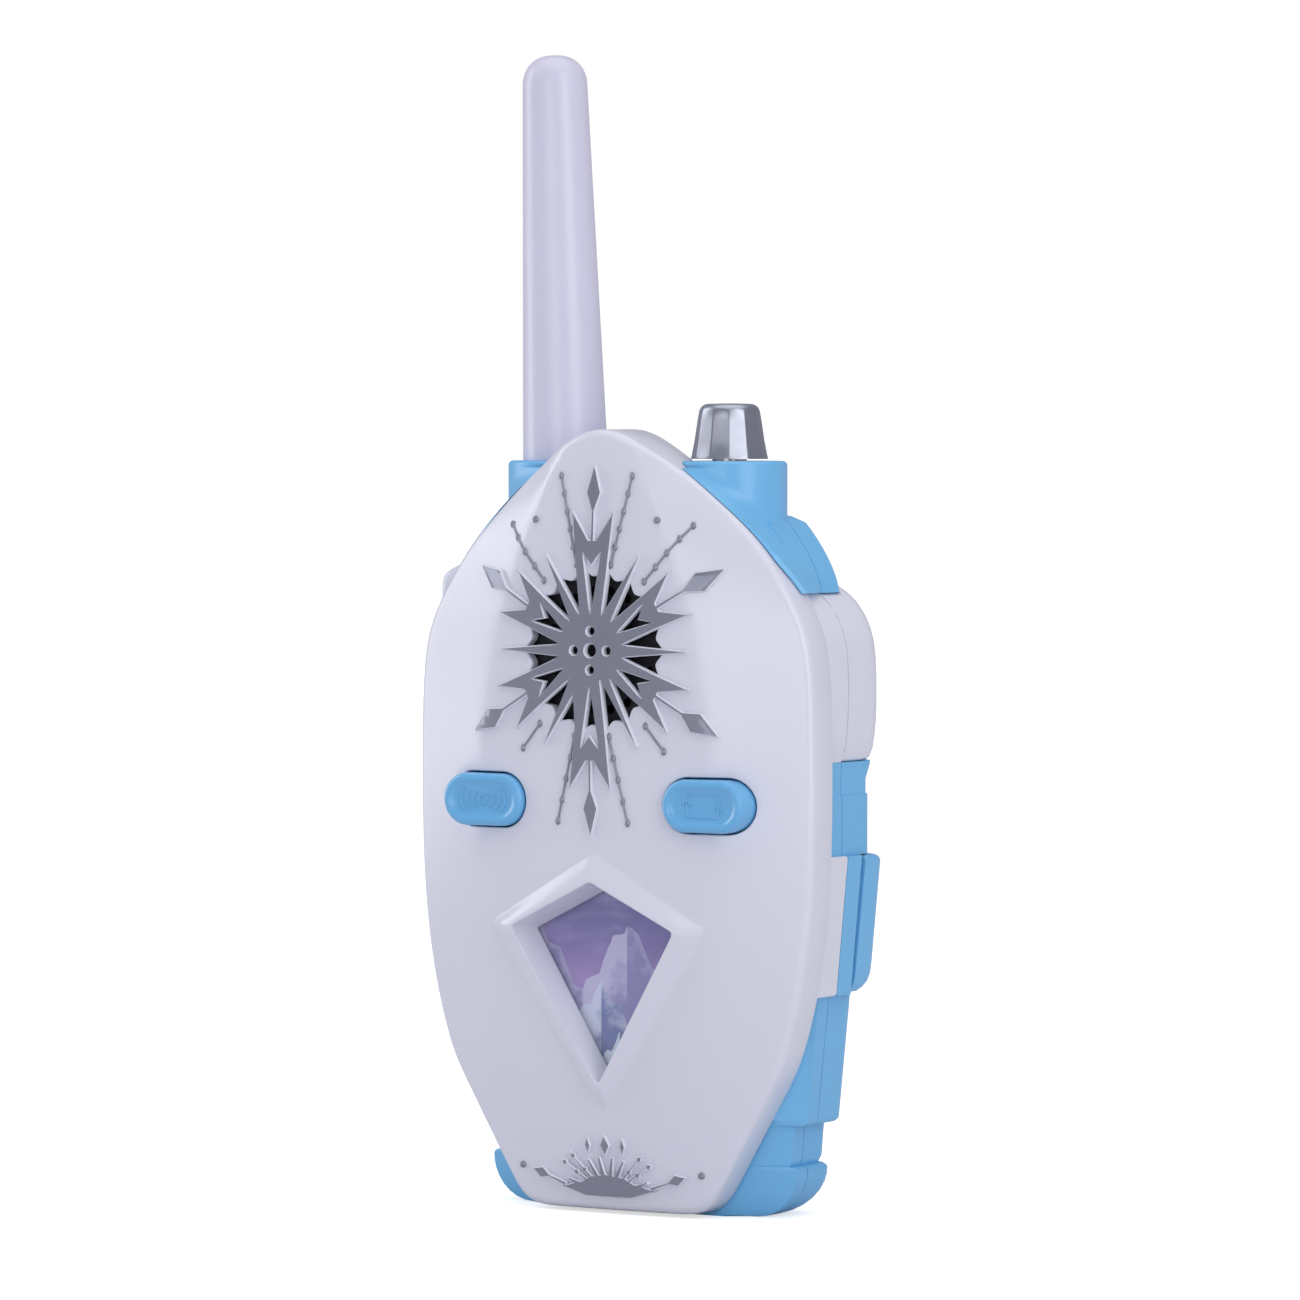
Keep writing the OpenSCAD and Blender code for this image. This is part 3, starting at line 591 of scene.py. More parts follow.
def boolean(obj: Object, other: Object, operation: str) -> None:
    """Joins or cuts two closed solids and drops the second.

    Args:
        obj: the solid that is changed.
        other: the solid that is used up.
        operation: UNION or DIFFERENCE.
    """
    modify(obj, "BOOLEAN", operation=operation, object=other, solver="MANIFOLD")
    freeze(obj)
    bpy.data.objects.remove(other)


def cut(obj: Object, parts: MeshParts) -> None:
    """Takes closed parts away from an object."""
    boolean(obj, shaped("knife", parts), "DIFFERENCE")


def seat(obj: Object, body: str, slot: str, *nodes: str) -> None:
    """Hangs a finished piece on its body, in place of its CAD nodes.

    Args:
        obj: the piece.
        body: the body that carries it.
        slot: the record's material slot; not used.
        nodes: the CAD nodes it stands for.
    """
    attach(obj, body)
    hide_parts(*nodes)
    log.info("%s: %d faces on %s", obj.name, len(obj.data.polygons), body)


# ---- face curve ----


@dataclass
class FaceCurve:
    """The crowned shield that the face plate and everything on it follow."""

    top: float = 134.5
    base: float = 0.6
    half_width: float = 39.6
    front: float = -16.1
    edge: float = -9.3
    edge_tip: float = -12.0
    crown_z: float = 84.5
    crown_drop: float = 1110.0
    band_drop: float = 462.0
    ridge_blend: float = 0.3
    widest_z: float = 78.0
    lower_fall: float = 21.3
    straight_from: float = 0.678
    flank_z: float = 136.2

    def width(self, z: float) -> float:
        """Half width of the plate at height z."""
        # below the widest line the outline falls away as a cube and then runs straight;
        # near the top it follows two bowed flanks that would meet at flank_z
        t = abs(z - self.widest_z) / (self.widest_z - self.base)
        if z > self.widest_z:
            fall = t**2.35
        else:
            fall = t**3 if t < self.straight_from else 0.312 + 2.137 * (t - self.straight_from)
        low = self.half_width - self.lower_fall * fall
        rest = self.flank_z - z
        high = 1.8 * rest - 0.0215 * rest * rest
        if z < 94:
            return low
        if z > 108:
            drop = self.top - z
            return min(high, sqrt(max(0.0, drop * (20.8 - drop)))) if drop < 1.3 else high
        return mix(low, high, smooth((z - 94) / 14))

    def ridge(self, z: float) -> float:
        """Half width of the middle band at height z."""
        return min(0.72 * self.width(z), 23.4 - (abs(z - 66) / 16.3) ** 2)

    def crown(self, z: float) -> float:
        """Depth of the face's middle line."""
        return self.front + (z - self.crown_z) ** 2 / self.crown_drop

    def edge_depth(self, z: float) -> float:
        """Depth of the face at its outline."""
        return mix(self.edge, self.edge_tip, smooth((z - 118) / 16))

    def depth(self, x: float, z: float) -> float:
        """Depth of the face, with the ridges between band and flats blended."""
        w = max(self.width(min(z, self.top - 0.01)), 0.5)
        r = min(self.ridge(min(z, self.top - 0.01)), w - 0.2)
        s = abs(x)
        band = self.crown(z) + s * s / self.band_drop
        turn = self.crown(z) + r * r / self.band_drop
        flat = turn + (s - r) * (self.edge_depth(z) - turn) / (w - r)
        gap = band - flat
        return 0.5 * (band + flat + sqrt(gap * gap + self.ridge_blend**2))

    def outline(self, spacing: float = 1.0) -> np.ndarray:
        """Closed outline from the lower right corner up and round, evenly spaced."""
        heights = [mix(self.base, self.top, 0.5 - 0.5 * cos(pi * i / 160)) for i in range(161)]
        right = [(self.width(z) if z < self.top - 1e-6 else 0.0, z) for z in heights]
        left = [(-x, z) for x, z in right[::-1][1:]]
        return spaced(right + left, spacing, rounds=4)


FACE = FaceCurve()


def circle(x: float, z: float, r: float, count: int) -> Outline:
    """Points of a circle, anticlockwise from its right-hand end."""
    turns = (2 * pi * k / count for k in range(count))
    return [(x + r * cos(a), z + r * sin(a)) for a in turns]


def mirrored(right: Outline) -> Outline:
    """Closes the right half of an outline with its mirror image."""
    return [*right, *((-x, z) for x, z in right[::-1])]


def relaxed(loop: np.ndarray, rounds: int) -> np.ndarray:
    """Softens a closed loop by moving each point half way to its neighbours' middle."""
    for _ in range(rounds):
        loop = 0.5 * loop + 0.25 * (np.roll(loop, 1, axis=0) + np.roll(loop, -1, axis=0))
    return loop


def kite(width: float, waist: float, top: float, bottom: float, grow: float = 0.0) -> Outline:
    """Kite corners, each side moved out by grow.

    Args:
        width: half width at the waist.
        waist: height of the side corners.
        top: height of the top corner.
        bottom: height of the bottom corner.
        grow: how far each side moves out.

    Returns:
        Four corners, from the top one round by the right.
    """
    corners = [(0.0, top), (width, waist), (0.0, bottom), (-width, waist)]
    grown = []
    for i, (x, z) in enumerate(corners):
        ax, az = corners[i - 1]
        bx, bz = corners[(i + 1) % 4]
        la, lb = hypot(x - ax, z - az), hypot(bx - x, bz - z)
        ux, uz = (x - ax) / la, (z - az) / la
        vx, vz = (bx - x) / lb, (bz - z) / lb
        na, nb = (-uz, ux), (-vz, vx)
        sx, sz = na[0] + nb[0], na[1] + nb[1]
        scale = grow * 2 / (sx * sx + sz * sz) if grow else 0.0
        grown.append((x + sx * scale, z + sz * scale))
    return grown


def walk(corners: Outline, per_side: int) -> Outline:
    """Points along a closed polygon's sides.

    Args:
        corners: the polygon's corners.
        per_side: points on each side.

    Returns:
        The points in order.
    """
    points = []
    for i, (x0, z0) in enumerate(corners):
        x1, z1 = corners[(i + 1) % len(corners)]
        points += [(mix(x0, x1, k / per_side), mix(z0, z1, k / per_side)) for k in range(per_side)]
    return points


def stadium(length: float, height: float, count: int = 72) -> Outline:
    """Outline of a slot with round ends, about the origin.

    Args:
        length: whole length.
        height: whole height.
        count: number of points.

    Returns:
        The outline, anticlockwise.
    """
    r = height / 2
    reach = length / 2 - r
    points = []
    for side in (1, -1):
        for k in range(count // 2):
            a = radians(-90 + 180 * k / (count // 2 - 1))
            points.append((side * (reach + r * cos(a)), side * r * sin(a)))
    return points


def prism_y(points: Outline, y0: float, y1: float) -> MeshParts:
    """Closed prism of an outline in X and Z, from y0 to y1.

    Args:
        points: the outline.
        y0: depth of its front.
        y1: depth of its back.

    Returns:
        The prism.
    """
    parts = MeshParts()
    parts.loft([[(x, y, z) for x, z in points] for y in (y0, y1)], cap_first=True, cap_last=True)
    return parts


def normals_of(loop: np.ndarray) -> np.ndarray:
    """Unit normals on the right-hand side of a closed loop's direction."""
    run = np.roll(loop, -1, axis=0) - np.roll(loop, 1, axis=0)
    run /= np.maximum(np.hypot(run[:, 0], run[:, 1]), 1e-9)[:, None]
    return np.stack([run[:, 1], -run[:, 0]], axis=1)


def spaced(loop: Sequence[Sequence[float]], spacing: float, rounds: int = 0) -> np.ndarray:
    """Resamples a closed loop evenly and softens its corners.

    Args:
        loop: the loop's points.
        spacing: distance between new points.
        rounds: passes of corner softening.

    Returns:
        The new points, one row each.
    """
    line = np.array([*loop, loop[0]], float)
    along = np.concatenate([[0], np.cumsum(np.hypot(*np.diff(line, axis=0).T))])
    at = np.linspace(0, along[-1], max(8, int(along[-1] / spacing)), endpoint=False)
    even = np.stack([np.interp(at, along, line[:, 0]), np.interp(at, along, line[:, 1])], axis=1)
    return relaxed(even, rounds)


def inside(points: np.ndarray, loop: np.ndarray) -> np.ndarray:
    """Says which points lie inside a closed loop.

    Args:
        points: one row for each point.
        loop: the closed loop.

    Returns:
        One truth value for each point.
    """
    hit = np.zeros(len(points), bool)
    px, pz = points[:, 0], points[:, 1]
    for (x0, z0), (x1, z1) in zip(loop, np.roll(loop, -1, axis=0)):
        if z0 == z1:
            continue
        across = ((z0 > pz) != (z1 > pz)) & (px < (x1 - x0) * (pz - z0) / (z1 - z0) + x0)
        hit ^= across
    return hit


def distance(points: np.ndarray, loop: np.ndarray) -> np.ndarray:
    """Distance of points to the nearest point of a loop.

    Args:
        points: one row for each point.
        loop: the loop's points.

    Returns:
        One distance for each point.
    """
    best = np.full(len(points), 1e9)
    for vertex in loop:
        np.minimum(best, np.hypot(points[:, 0] - vertex[0], points[:, 1] - vertex[1]), out=best)
    return best


def fill(
    loops: list[np.ndarray], extra: np.ndarray, lines: list[np.ndarray] | None = None
) -> tuple[list[Vector], list[list[int]]]:
    """Triangulates the area between closed loops.

    Args:
        loops: the outer loops and holes, in any order.
        extra: loose points inside.
        lines: open lines that the edges keep to.

    Returns:
        Points in X and Z, and triangles that run anticlockwise.
    """
    verts: list[Vector] = []
    edges: list[tuple[int, int]] = []
    for loop in loops:
        start = len(verts)
        verts += [Vector((float(x), float(z))) for x, z in loop]
        edges += [(start + i, start + (i + 1) % len(loop)) for i in range(len(loop))]
    for line in lines or []:
        start = len(verts)
        verts += [Vector((float(x), float(z))) for x, z in line]
        edges += [(start + i, start + i + 1) for i in range(len(line) - 1)]
    verts += [Vector((float(x), float(z))) for x, z in extra]
    points, _, faces, _, _, _ = geometry.delaunay_2d_cdt(verts, edges, [], 0, 1e-6)
    at = np.array([[p.x, p.y] for p in points])
    middle = np.array([at[list(f)].mean(axis=0) for f in faces])
    kept = np.zeros(len(faces), bool)
    for loop in loops:
        kept ^= inside(middle, loop)
    return points, [list(f) for f, keep in zip(faces, kept) if keep]


@dataclass
class Opening:
    """An opening in the face: its ring on the surface, and rows that lead in from there."""

    ring: np.ndarray
    rows: Rows


@dataclass
class FacePlate:
    """White shield with rolled edge, kite frame, frosted speaker hole and two key slots."""

    roll: float = 1.7
    wall: float = 2.0
    rim_back: float = -2.5
    grid: float = 1.4
    edge_round: float = 0.3
    key_length: float = 16.6
    key_height: float = 9.6
    # half width, height of the widest corners, top corner and bottom corner
    kite_outer: tuple[float, float, float, float] = (21.8, 49.7, 62.6, 17.5)
    kite_inner: tuple[float, float, float, float] = (16.5, 49.2, 57.4, 22.2)
    kite_rise: float = 1.45
    kite_deep: float = 1.35
    kite_back: float = -10.64
    kite_mid: float = 44.0
    kite_slope: float = 0.0769
    closed_from: float = 117.5
    closed_back: float = -4.0

    def behind(self, x: float, z: float) -> float:
        """Depth of the plate's back: one wall behind the face, closed off at the tip."""
        return mix(FACE.depth(x, z) + self.wall, self.closed_back, smooth((z - self.closed_from) / 2.5))

    def frame_plane(self, z: float) -> float:
        """Depth of the plane that the kite frame stands on."""
        return FACE.crown(self.kite_mid) - self.kite_slope * (z - self.kite_mid)

    def kite_opening(self) -> Opening:
        """Raised kite frame: a wide bevel, a soft ridge and a deep wall that narrows inwards."""
        outer = walk(kite(*self.kite_outer), 44)
        inner = walk(kite(*self.kite_inner), 44)
        deep = walk(kite(*self.kite_inner, grow=-self.kite_deep), 44)
        a, b = (relaxed(np.array(p), 3) for p in (outer, inner))
        c = relaxed(np.array(deep), 1)
        rows: Rows = []
        bevel = ((0.0, 0.0), (0.05, 0.02), (0.11, 0.09), (0.25, 0.24), (0.45, 0.46), (0.65, 0.68))
        for t, lift in (*bevel, (0.82, 0.88), (0.92, 0.97), (0.98, 1.0)):
            row = mix(a, b, t)
            rows.append(
                [
                    (
                        x,
                        mix(FACE.depth(x, z), self.frame_plane(z), smooth(1.6 * t)) - self.kite_rise * lift,
                        z,
                    )
                    for x, z in row
                ]
            )
        for t, back in ((0.02, 0.03), (0.06, 0.15), (0.09, 0.38), (0.12, 0.7)):
            row = mix(b, c, t)
            rows.append([(x, self.frame_plane(z) - self.kite_rise + back, z) for x, z in row])
        for t in (0.4, 0.7, 1.0):
            row = mix(b, c, 0.12 + 0.88 * t)
            rows.append(
                [(x, mix(self.frame_plane(z) - self.kite_rise + 0.7, self.kite_back, t), z) for x, z in row]
            )
        return Opening(a, rows)

    def cut_out(self, outline: np.ndarray, depth: float) -> Opening:
        """Opening with a small edge round and a straight wall.

        Args:
            outline: the opening's outline.
            depth: how far back its wall runs.

        Returns:
            The opening.
        """
        away = normals_of(outline)
        rows: Rows = []
        for turn in (0, 22, 45, 68, 90):
            s, c = sin_cos(turn)
            row = outline + away * self.edge_round * (1 - s)
            rows.append([(x, FACE.depth(x, z) + self.edge_round * (1 - c), z) for x, z in row])
        rows.append([(x, FACE.depth(x, z) + depth, z) for x, z in outline])
        return Opening(outline + away * self.edge_round, rows)

    def frost(self) -> np.ndarray:
        """Star-edged outline of the speaker opening."""
        points = []
        for i in range(36):
            r = 12.4 if i % 2 else 14.0
            points.append((r * cos(radians(10 * i)), SPEAKER_Z + r * sin(radians(10 * i))))
        return spaced(points, 0.55, rounds=1)

    def rolled_edge(self, outline: np.ndarray, out: np.ndarray) -> tuple[np.ndarray, Rows]:
        """Rolls the face over into the plate's side and round to its back.

        Args:
            outline: the plate's outline.
            out: the outline's outward normals.

        Returns:
            The ring where the roll starts, and the rows from there to the back of the rim.
        """
        slopes = []
        for (x, z), (nx, nz) in zip(outline, out):
            near, far = (FACE.depth(x - d * nx, z - d * nz) for d in (self.roll, self.roll + 1.2))
            slopes.append(min(0.8, max(0.0, (near - far) / 1.2)))
        start = relaxed(np.arctan(np.array(slopes)), 6)
        ring = outline - out * (self.roll * (1 - np.sin(start)))[:, None]
        rim: Rows = []
        for t in (0.0, 0.15, 0.3, 0.45, 0.6, 0.75, 0.9, 1.0):
            row = []
            for (x, z), (nx, nz), a0 in zip(ring, out, start):
                a = mix(a0, pi / 2, t)
                s, c = self.roll * (sin(a) - sin(a0)), self.roll * (cos(a0) - cos(a))
                row.append((x + nx * s, FACE.depth(x, z) + c, z + nz * s))
            rim.append(row)
        for inset, short in ((0.0, 0.35), (0.1, 0.1), (0.35, 0.0)):
            y = self.rim_back - short
            rim.append([(x - nx * inset, y, z - nz * inset) for (x, _, z), (nx, nz) in zip(rim[-1], out)])
        rim.append([(x, self.rim_back, z) for x, z in ring])
        return ring, rim

    def ridge_lines(self, ring: np.ndarray, holes: list[np.ndarray]) -> list[np.ndarray]:
        """Runs of points along both ridges, clear of the rim and the openings."""
        lines: list[np.ndarray] = []
        for side in (-1, 1):
            points = np.array([(side * FACE.ridge(z), z) for z in np.arange(3.0, 128.0, 0.9)])
            clear = inside(points, ring) & (distance(points, ring) > 1.0)
            for loop in holes:
                clear &= ~inside(points, loop) & (distance(points, loop) > 0.8)
            run: list[np.ndarray] = []
            for point, free in zip(points, clear):
                if free:
                    run.append(point)
                elif run:
                    lines.append(np.array(run))
                    run = []
            if run:
                lines.append(np.array(run))
        return lines

    def lattice(self, ring: np.ndarray, holes: list[np.ndarray], lines: list[np.ndarray]) -> np.ndarray:
        """Points of an even triangle lattice, clear of the rim, the openings and the ridges."""
        xs, zs = np.meshgrid(np.arange(-40, 40, self.grid), np.arange(0, 136, self.grid * 0.866))
        xs = xs + (np.arange(xs.shape[0]) % 2)[:, None] * self.grid / 2
        extra = np.stack([xs.ravel(), zs.ravel()], axis=1)
        keep = inside(extra, ring) & (distance(extra, ring) > 0.75 * self.grid)
        for loop in holes:
            keep &= ~inside(extra, loop) & (distance(extra, loop) > 0.6 * self.grid)
        for line in lines:
            keep &= distance(extra, line) > 0.55 * self.grid
        return extra[keep]

    def build(self) -> Object:
        """Makes the plate as one closed shell."""
        outline = spaced(FACE.outline(0.9), 1.0, rounds=10)
        ring, rim = self.rolled_edge(outline, normals_of(outline))
        openings = [self.kite_opening(), self.cut_out(self.frost(), self.wall)]
        for side in (-1, 1):
            shape = stadium(self.key_length, self.key_height, 120)
            slot = spaced([(side * KEY_X + x, KEY_Z + z) for x, z in shape], 0.7)
            openings.append(self.cut_out(slot, self.wall))
        holes = [opening.ring for opening in openings]
        lines = self.ridge_lines(ring, holes)
        points, tris = fill([ring, *holes], self.lattice(ring, holes, lines), lines)

        parts = MeshParts()
        front = [(p.x, FACE.depth(p.x, p.y), p.y) for p in points]
        parts.add(front, tris)
        parts.add([(x, self.behind(x, z), z) for x, _, z in front], [t[::-1] for t in tris])
        for loop, rows in [(ring, rim), *((opening.ring, opening.rows) for opening in openings)]:
            parts.loft(rows + [[(x, self.behind(x, z), z) for x, z in loop]])
        plate = shaped("face_plate_moulding", parts, merge_mm=0.004)
        return freeze(plate, 40)


# ---- crystals ----


def rotated(points: Sequence[Flat], degrees: float, mid: Flat) -> Outline:
    """Turns points anticlockwise about the origin and moves them to mid."""
    s, c = sin_cos(degrees)
    return [(mid[0] + x * c - z * s, mid[1] + x * s + z * c) for x, z in points]


def joined(solids: list[Outline], holes: list[Outline]) -> list[np.ndarray]:
    """Outer and inner loops of flat shapes joined together, less the holes.

    Args:
        solids: shapes that are joined.
        holes: shapes that are taken away.

    Returns:
        The loops, the solid on their left.
    """
    verts: list[Vector] = []
    faces: list[list[int]] = []
    for shape in solids + holes:
        faces.append(list(range(len(verts), len(verts) + len(shape))))
        verts += [Vector(p) for p in shape]
    points, _, tris, _, _, owners = geometry.delaunay_2d_cdt(verts, [], faces, 1, 1e-5)
    last = len(solids)
    kept = [
        t for t, own in zip(tris, owners) if any(i < last for i in own) and not any(i >= last for i in own)
    ]
    sides = {(t[i], t[(i + 1) % len(t)]) for t in kept for i in range(len(t))}
    onward: dict[int, list[int]] = {}
    for a, b in sides:
        if (b, a) not in sides:
            onward.setdefault(a, []).append(b)
    loops = []
    while onward:
        start = min(onward)
        loop = [start]
        while True:
            ways = onward[loop[-1]]
            nearest = ways.pop(0)
            if not ways:
                del onward[loop[-1]]
            if nearest == start:
                break
            loop.append(nearest)
        flat = [points[i] for i in loop]
        tidy = [p for p, q in zip(flat, flat[1:] + flat[:1]) if (p - q).length > 0.03]
        if len(tidy) > 3:
            loops.append(np.array([[p.x, p.y] for p in tidy]))
    return loops


def finer(loop: np.ndarray, longest: float) -> np.ndarray:
    """Splits a loop's long sides and keeps its corners.

    Args:
        loop: the closed loop.
        longest: longest side that may stay.

    Returns:
        The loop with its new points.
    """
    made = []
    for p, q in zip(loop, np.roll(loop, -1, axis=0)):
        pieces = max(1, ceil(float(np.hypot(*(q - p))) / longest))
        made += [p + (q - p) * k / pieces for k in range(pieces)]
    return np.array(made)


def drawn_in(loop: np.ndarray, by: float, most: float = 2.4) -> np.ndarray:
    """Moves a loop inwards, with short mitres at its points.

    Args:
        loop: an anticlockwise loop.
        by: how far it moves.
        most: greatest length of a mitre.

    Returns:
        The new loop.
    """
    back, ahead = loop - np.roll(loop, 1, axis=0), np.roll(loop, -1, axis=0) - loop
    back /= np.hypot(back[:, 0], back[:, 1])[:, None]
    ahead /= np.hypot(ahead[:, 0], ahead[:, 1])[:, None]
    left_a, left_b = np.stack([-back[:, 1], back[:, 0]], 1), np.stack([-ahead[:, 1], ahead[:, 0]], 1)
    total = left_a + left_b
    reach = total / np.maximum((total**2).sum(axis=1) / 2, 1 / most)[:, None]
    return loop + reach * by


@dataclass
class RaisedOrnament:
    """Flat-topped relief on the crowned face: white moulded sides and a silver-painted top."""

    name: str
    proud: float = 0.8
    sunk: float = 0.45
    bevel: float = 0.16

    def solids(self) -> tuple[list[Outline], list[Outline]]:
        """Flat shapes and holes of the ornament."""
        raise NotImplementedError

    def build(self) -> Object:
        """Makes the ornament as a closed relief that follows the face."""
        loops = [finer(loop, 1.1) for loop in joined(*self.solids())]
        tops = [drawn_in(loop, self.bevel) for loop in loops]
        every = np.concatenate(loops)
        lo, hi = every.min(axis=0), every.max(axis=0)
        xs, zs = np.meshgrid(np.arange(lo[0], hi[0], 1.3), np.arange(lo[1], hi[1], 1.3))
        grid = np.stack([xs.ravel(), zs.ravel()], axis=1)
        held = np.zeros(len(grid), bool)
        for loop in tops:
            held ^= inside(grid, loop)
        for loop in tops:
            held &= distance(grid, loop) > 0.5
        parts = MeshParts()
        points, tris = fill(loops, grid[:0])
        parts.add([(p.x, FACE.depth(p.x, p.y) + self.sunk, p.y) for p in points], [t[::-1] for t in tris])
        for loop, top in zip(loops, tops):
            parts.loft(
                [
                    [(x, FACE.depth(x, z) + self.sunk, z) for x, z in loop],
                    [(x, FACE.depth(x, z) - self.proud + 0.22, z) for x, z in loop],
                    [(x, FACE.depth(x, z) - self.proud, z) for x, z in top],
                ]
            )
        sides = len(parts.faces)
        points, tris = fill(tops, grid[held])
        parts.add([(p.x, FACE.depth(p.x, p.y) - self.proud, p.y) for p in points], tris)
        mesh = bpy.data.meshes.new(self.name)
        mesh.from_pydata([tuple(c * MM for c in v) for v in parts.verts], [], parts.faces)
        mesh.materials.append(material_of(Finish.WHITE_ABS))
        mesh.materials.append(material_of(Finish.SILVER_PAINT))
        for index in range(sides, len(parts.faces)):
            mesh.polygons[index].material_index = 1
        work = bmesh.new()
        work.from_mesh(mesh)
        bmesh.ops.remove_doubles(work, verts=work.verts, dist=0.002 * MM)
        bmesh.ops.recalc_face_normals(work, faces=work.faces)
        work.to_mesh(mesh)
        work.free()
        return freeze(put(self.name, mesh), 30)


@dataclass
class SnowCrystal(RaisedOrnament):
    """Six-armed snow crystal over the speaker."""

    name: str = "snow_crystal_relief"
    long_ray: float = 31.4
    short_ray: float = 28.3
    spike: float = 18.8
    hub: float = 5.6
    drill_r: float = 1.15
    sound_hole_r: float = 0.78

    def solids(self) -> tuple[list[Outline], list[Outline]]:
        """Forked arms with lozenge tips, spikes between them and a drilled hub."""
        mid = (0.0, SPEAKER_Z)
        shapes, holes = [], []
        for k in range(6):
            turn = 60.0 * k
            length = self.short_ray if k % 3 else self.long_ray
            fork = length - (8.2 if k % 3 else 7.6)
            arm = [(1.5, 0.0), (3.1, 13.0), (4.2, fork), (0.75, fork - 5.0)]
            shapes.append(rotated(mirrored(arm), turn, mid))
            tip = [
                (0.36, fork - 6.0),
                (0.32, length - 7.6),
                (1.9 if k % 3 else 1.45, length - 4.6),
                (0.12, length),
            ]
            shapes.append(rotated(mirrored(tip), turn, mid))
            slot = [(0.0, 6.2), (1.75, fork - 7.2), (0.0, fork - 9.4), (-1.75, fork - 7.2)]
            holes.append(rotated(slot, turn, mid))
            shapes.append(rotated(mirrored([(1.6, 0.0), (0.14, self.spike)]), turn + 30.0, mid))
        shapes.append(circle(*mid, self.hub, 36))
        holes.append(circle(*mid, self.drill_r, 18))
        for k in range(4):
            holes.append(circle(*rotated([(0.0, 3.3)], 90.0 * k, mid)[0], self.sound_hole_r, 12))
        return shapes, holes


@dataclass
class LowerCrystal(RaisedOrnament):
    """Half crystal that rises from the plate's lower edge."""

    name: str = "lower_crystal_relief"
    base_z: float = 3.0

    def solids(self) -> tuple[list[Outline], list[Outline]]:
        """A fan of spikes on a low mound, with loose lozenges above and beside it."""
        shapes: list[Outline] = []

        def lozenge(x: float, z: float, wide: float, tall: float, turn: float) -> None:
            """Adds one lozenge at a height over the base."""
            shapes.append(
                rotated([(wide, 0.0), (0.0, tall), (-wide, 0.0), (0.0, -tall)], turn, (x, self.base_z + z))
            )

        mound = [(9.6, 1.5), (5.2, 2.6), (3.4, 3.6), (0.0, 4.0)]
        shapes.append(
            [
                (x, self.base_z + z)
                for x, z in [(-4.6, 0.0), (4.6, 0.0), *mound, *[(-x, z) for x, z in mound[2::-1]]]
            ]
        )
        fan = ((11, 7.2, 0.75), (29, 7.4, 0.75), (44, 10.6, 0.42), (56, 10.4, 0.42), (70, 8.6, 0.7))
        for turn, reach, w in fan:
            for side in (-1, 1):
                spike = [(-w, 1.2), (w, 1.2), (w * 0.35, reach), (-w * 0.35, reach)]
                shapes.append(rotated(spike, -side * turn, (0.0, self.base_z)))
        for side in (-1, 1):
            for turn, at in ((44, 6.4), (44, 9.6), (56, 7.4), (56, 10.2)):
                a = radians(turn)
                lozenge(side * at * sin(a), at * cos(a), 0.62, 0.75, -side * turn)
            lozenge(side * 3.5, 8.9, 0.6, 1.6, 0.0)
            lozenge(side * 13.6, 3.6, 1.05, 2.1, -side * 72.0)
            stem = [(8.6, 1.5), (12.2, 2.9), (12.2, 3.4), (8.4, 2.2)]
            shapes.append([(side * x, self.base_z + z) for x, z in (stem if side > 0 else stem[::-1])])
        lozenge(0.0, 9.0, 1.0, 1.9, 0.0)
        return shapes, []


# ---- geometry nodes ----


def new_tree(name: str, inputs: dict[str, str]) -> NodeTree:
    """Makes a geometry tree with named inputs and one geometry output.

    Args:
        name: the tree's name.
        inputs: input names and socket types.

    Returns:
        The tree.
    """
    tree = bpy.data.node_groups.new(name, "GeometryNodeTree")
    for label, kind in inputs.items():
        tree.interface.new_socket(name=label, in_out="INPUT", socket_type=kind)
    tree.interface.new_socket(name="Geometry", in_out="OUTPUT", socket_type="NodeSocketGeometry")
    return tree


def close_tree(tree: NodeTree, given: Node, last: Node) -> None:
    """Ends a geometry tree: real geometry in the finish that was handed in."""
    real = add_node(tree, "GeometryNodeRealizeInstances", {"Geometry": last.outputs[0]})
    wanted = {"Geometry": real.outputs[0], "Material": given.outputs["Finish"]}
    dressed = add_node(tree, "GeometryNodeSetMaterial", wanted)
    add_node(tree, "NodeGroupOutput", {"Geometry": dressed.outputs[0]})


def run_tree(obj: Object, tree: NodeTree, **values: object) -> Object:
    """Runs a geometry tree on an object and bakes the result.

    Args:
        obj: the object.
        tree: the geometry tree.
        values: a value for each named input.

    Returns:
        The object as a plain mesh.
    """
    mod = modify(obj, "NODES", node_group=tree)
    for item in tree.interface.items_tree:
        if item.item_type == "SOCKET" and item.in_out == "INPUT" and item.name in values:
            mod[item.identifier] = values[item.name]
    return freeze(obj, 35)


def scatter_tree() -> NodeTree:
    """Tree that sets one piece on every point."""
    tree = new_tree(
        "piece_on_each_point",
        {
            "Geometry": "NodeSocketGeometry",
            "Piece": "NodeSocketObject",
            "Size": "NodeSocketFloat",
            "Finish": "NodeSocketMaterial",
        },
    )
    given = add_node(tree, "NodeGroupInput")
    piece = add_node(tree, "GeometryNodeObjectInfo", {"Object": given.outputs["Piece"]})
    placed = add_node(
        tree,
        "GeometryNodeInstanceOnPoints",
        {
            "Points": given.outputs["Geometry"],
            "Instance": piece.outputs["Geometry"],
            "Scale": given.outputs["Size"],
        },
    )
    close_tree(tree, given, placed)
    return tree


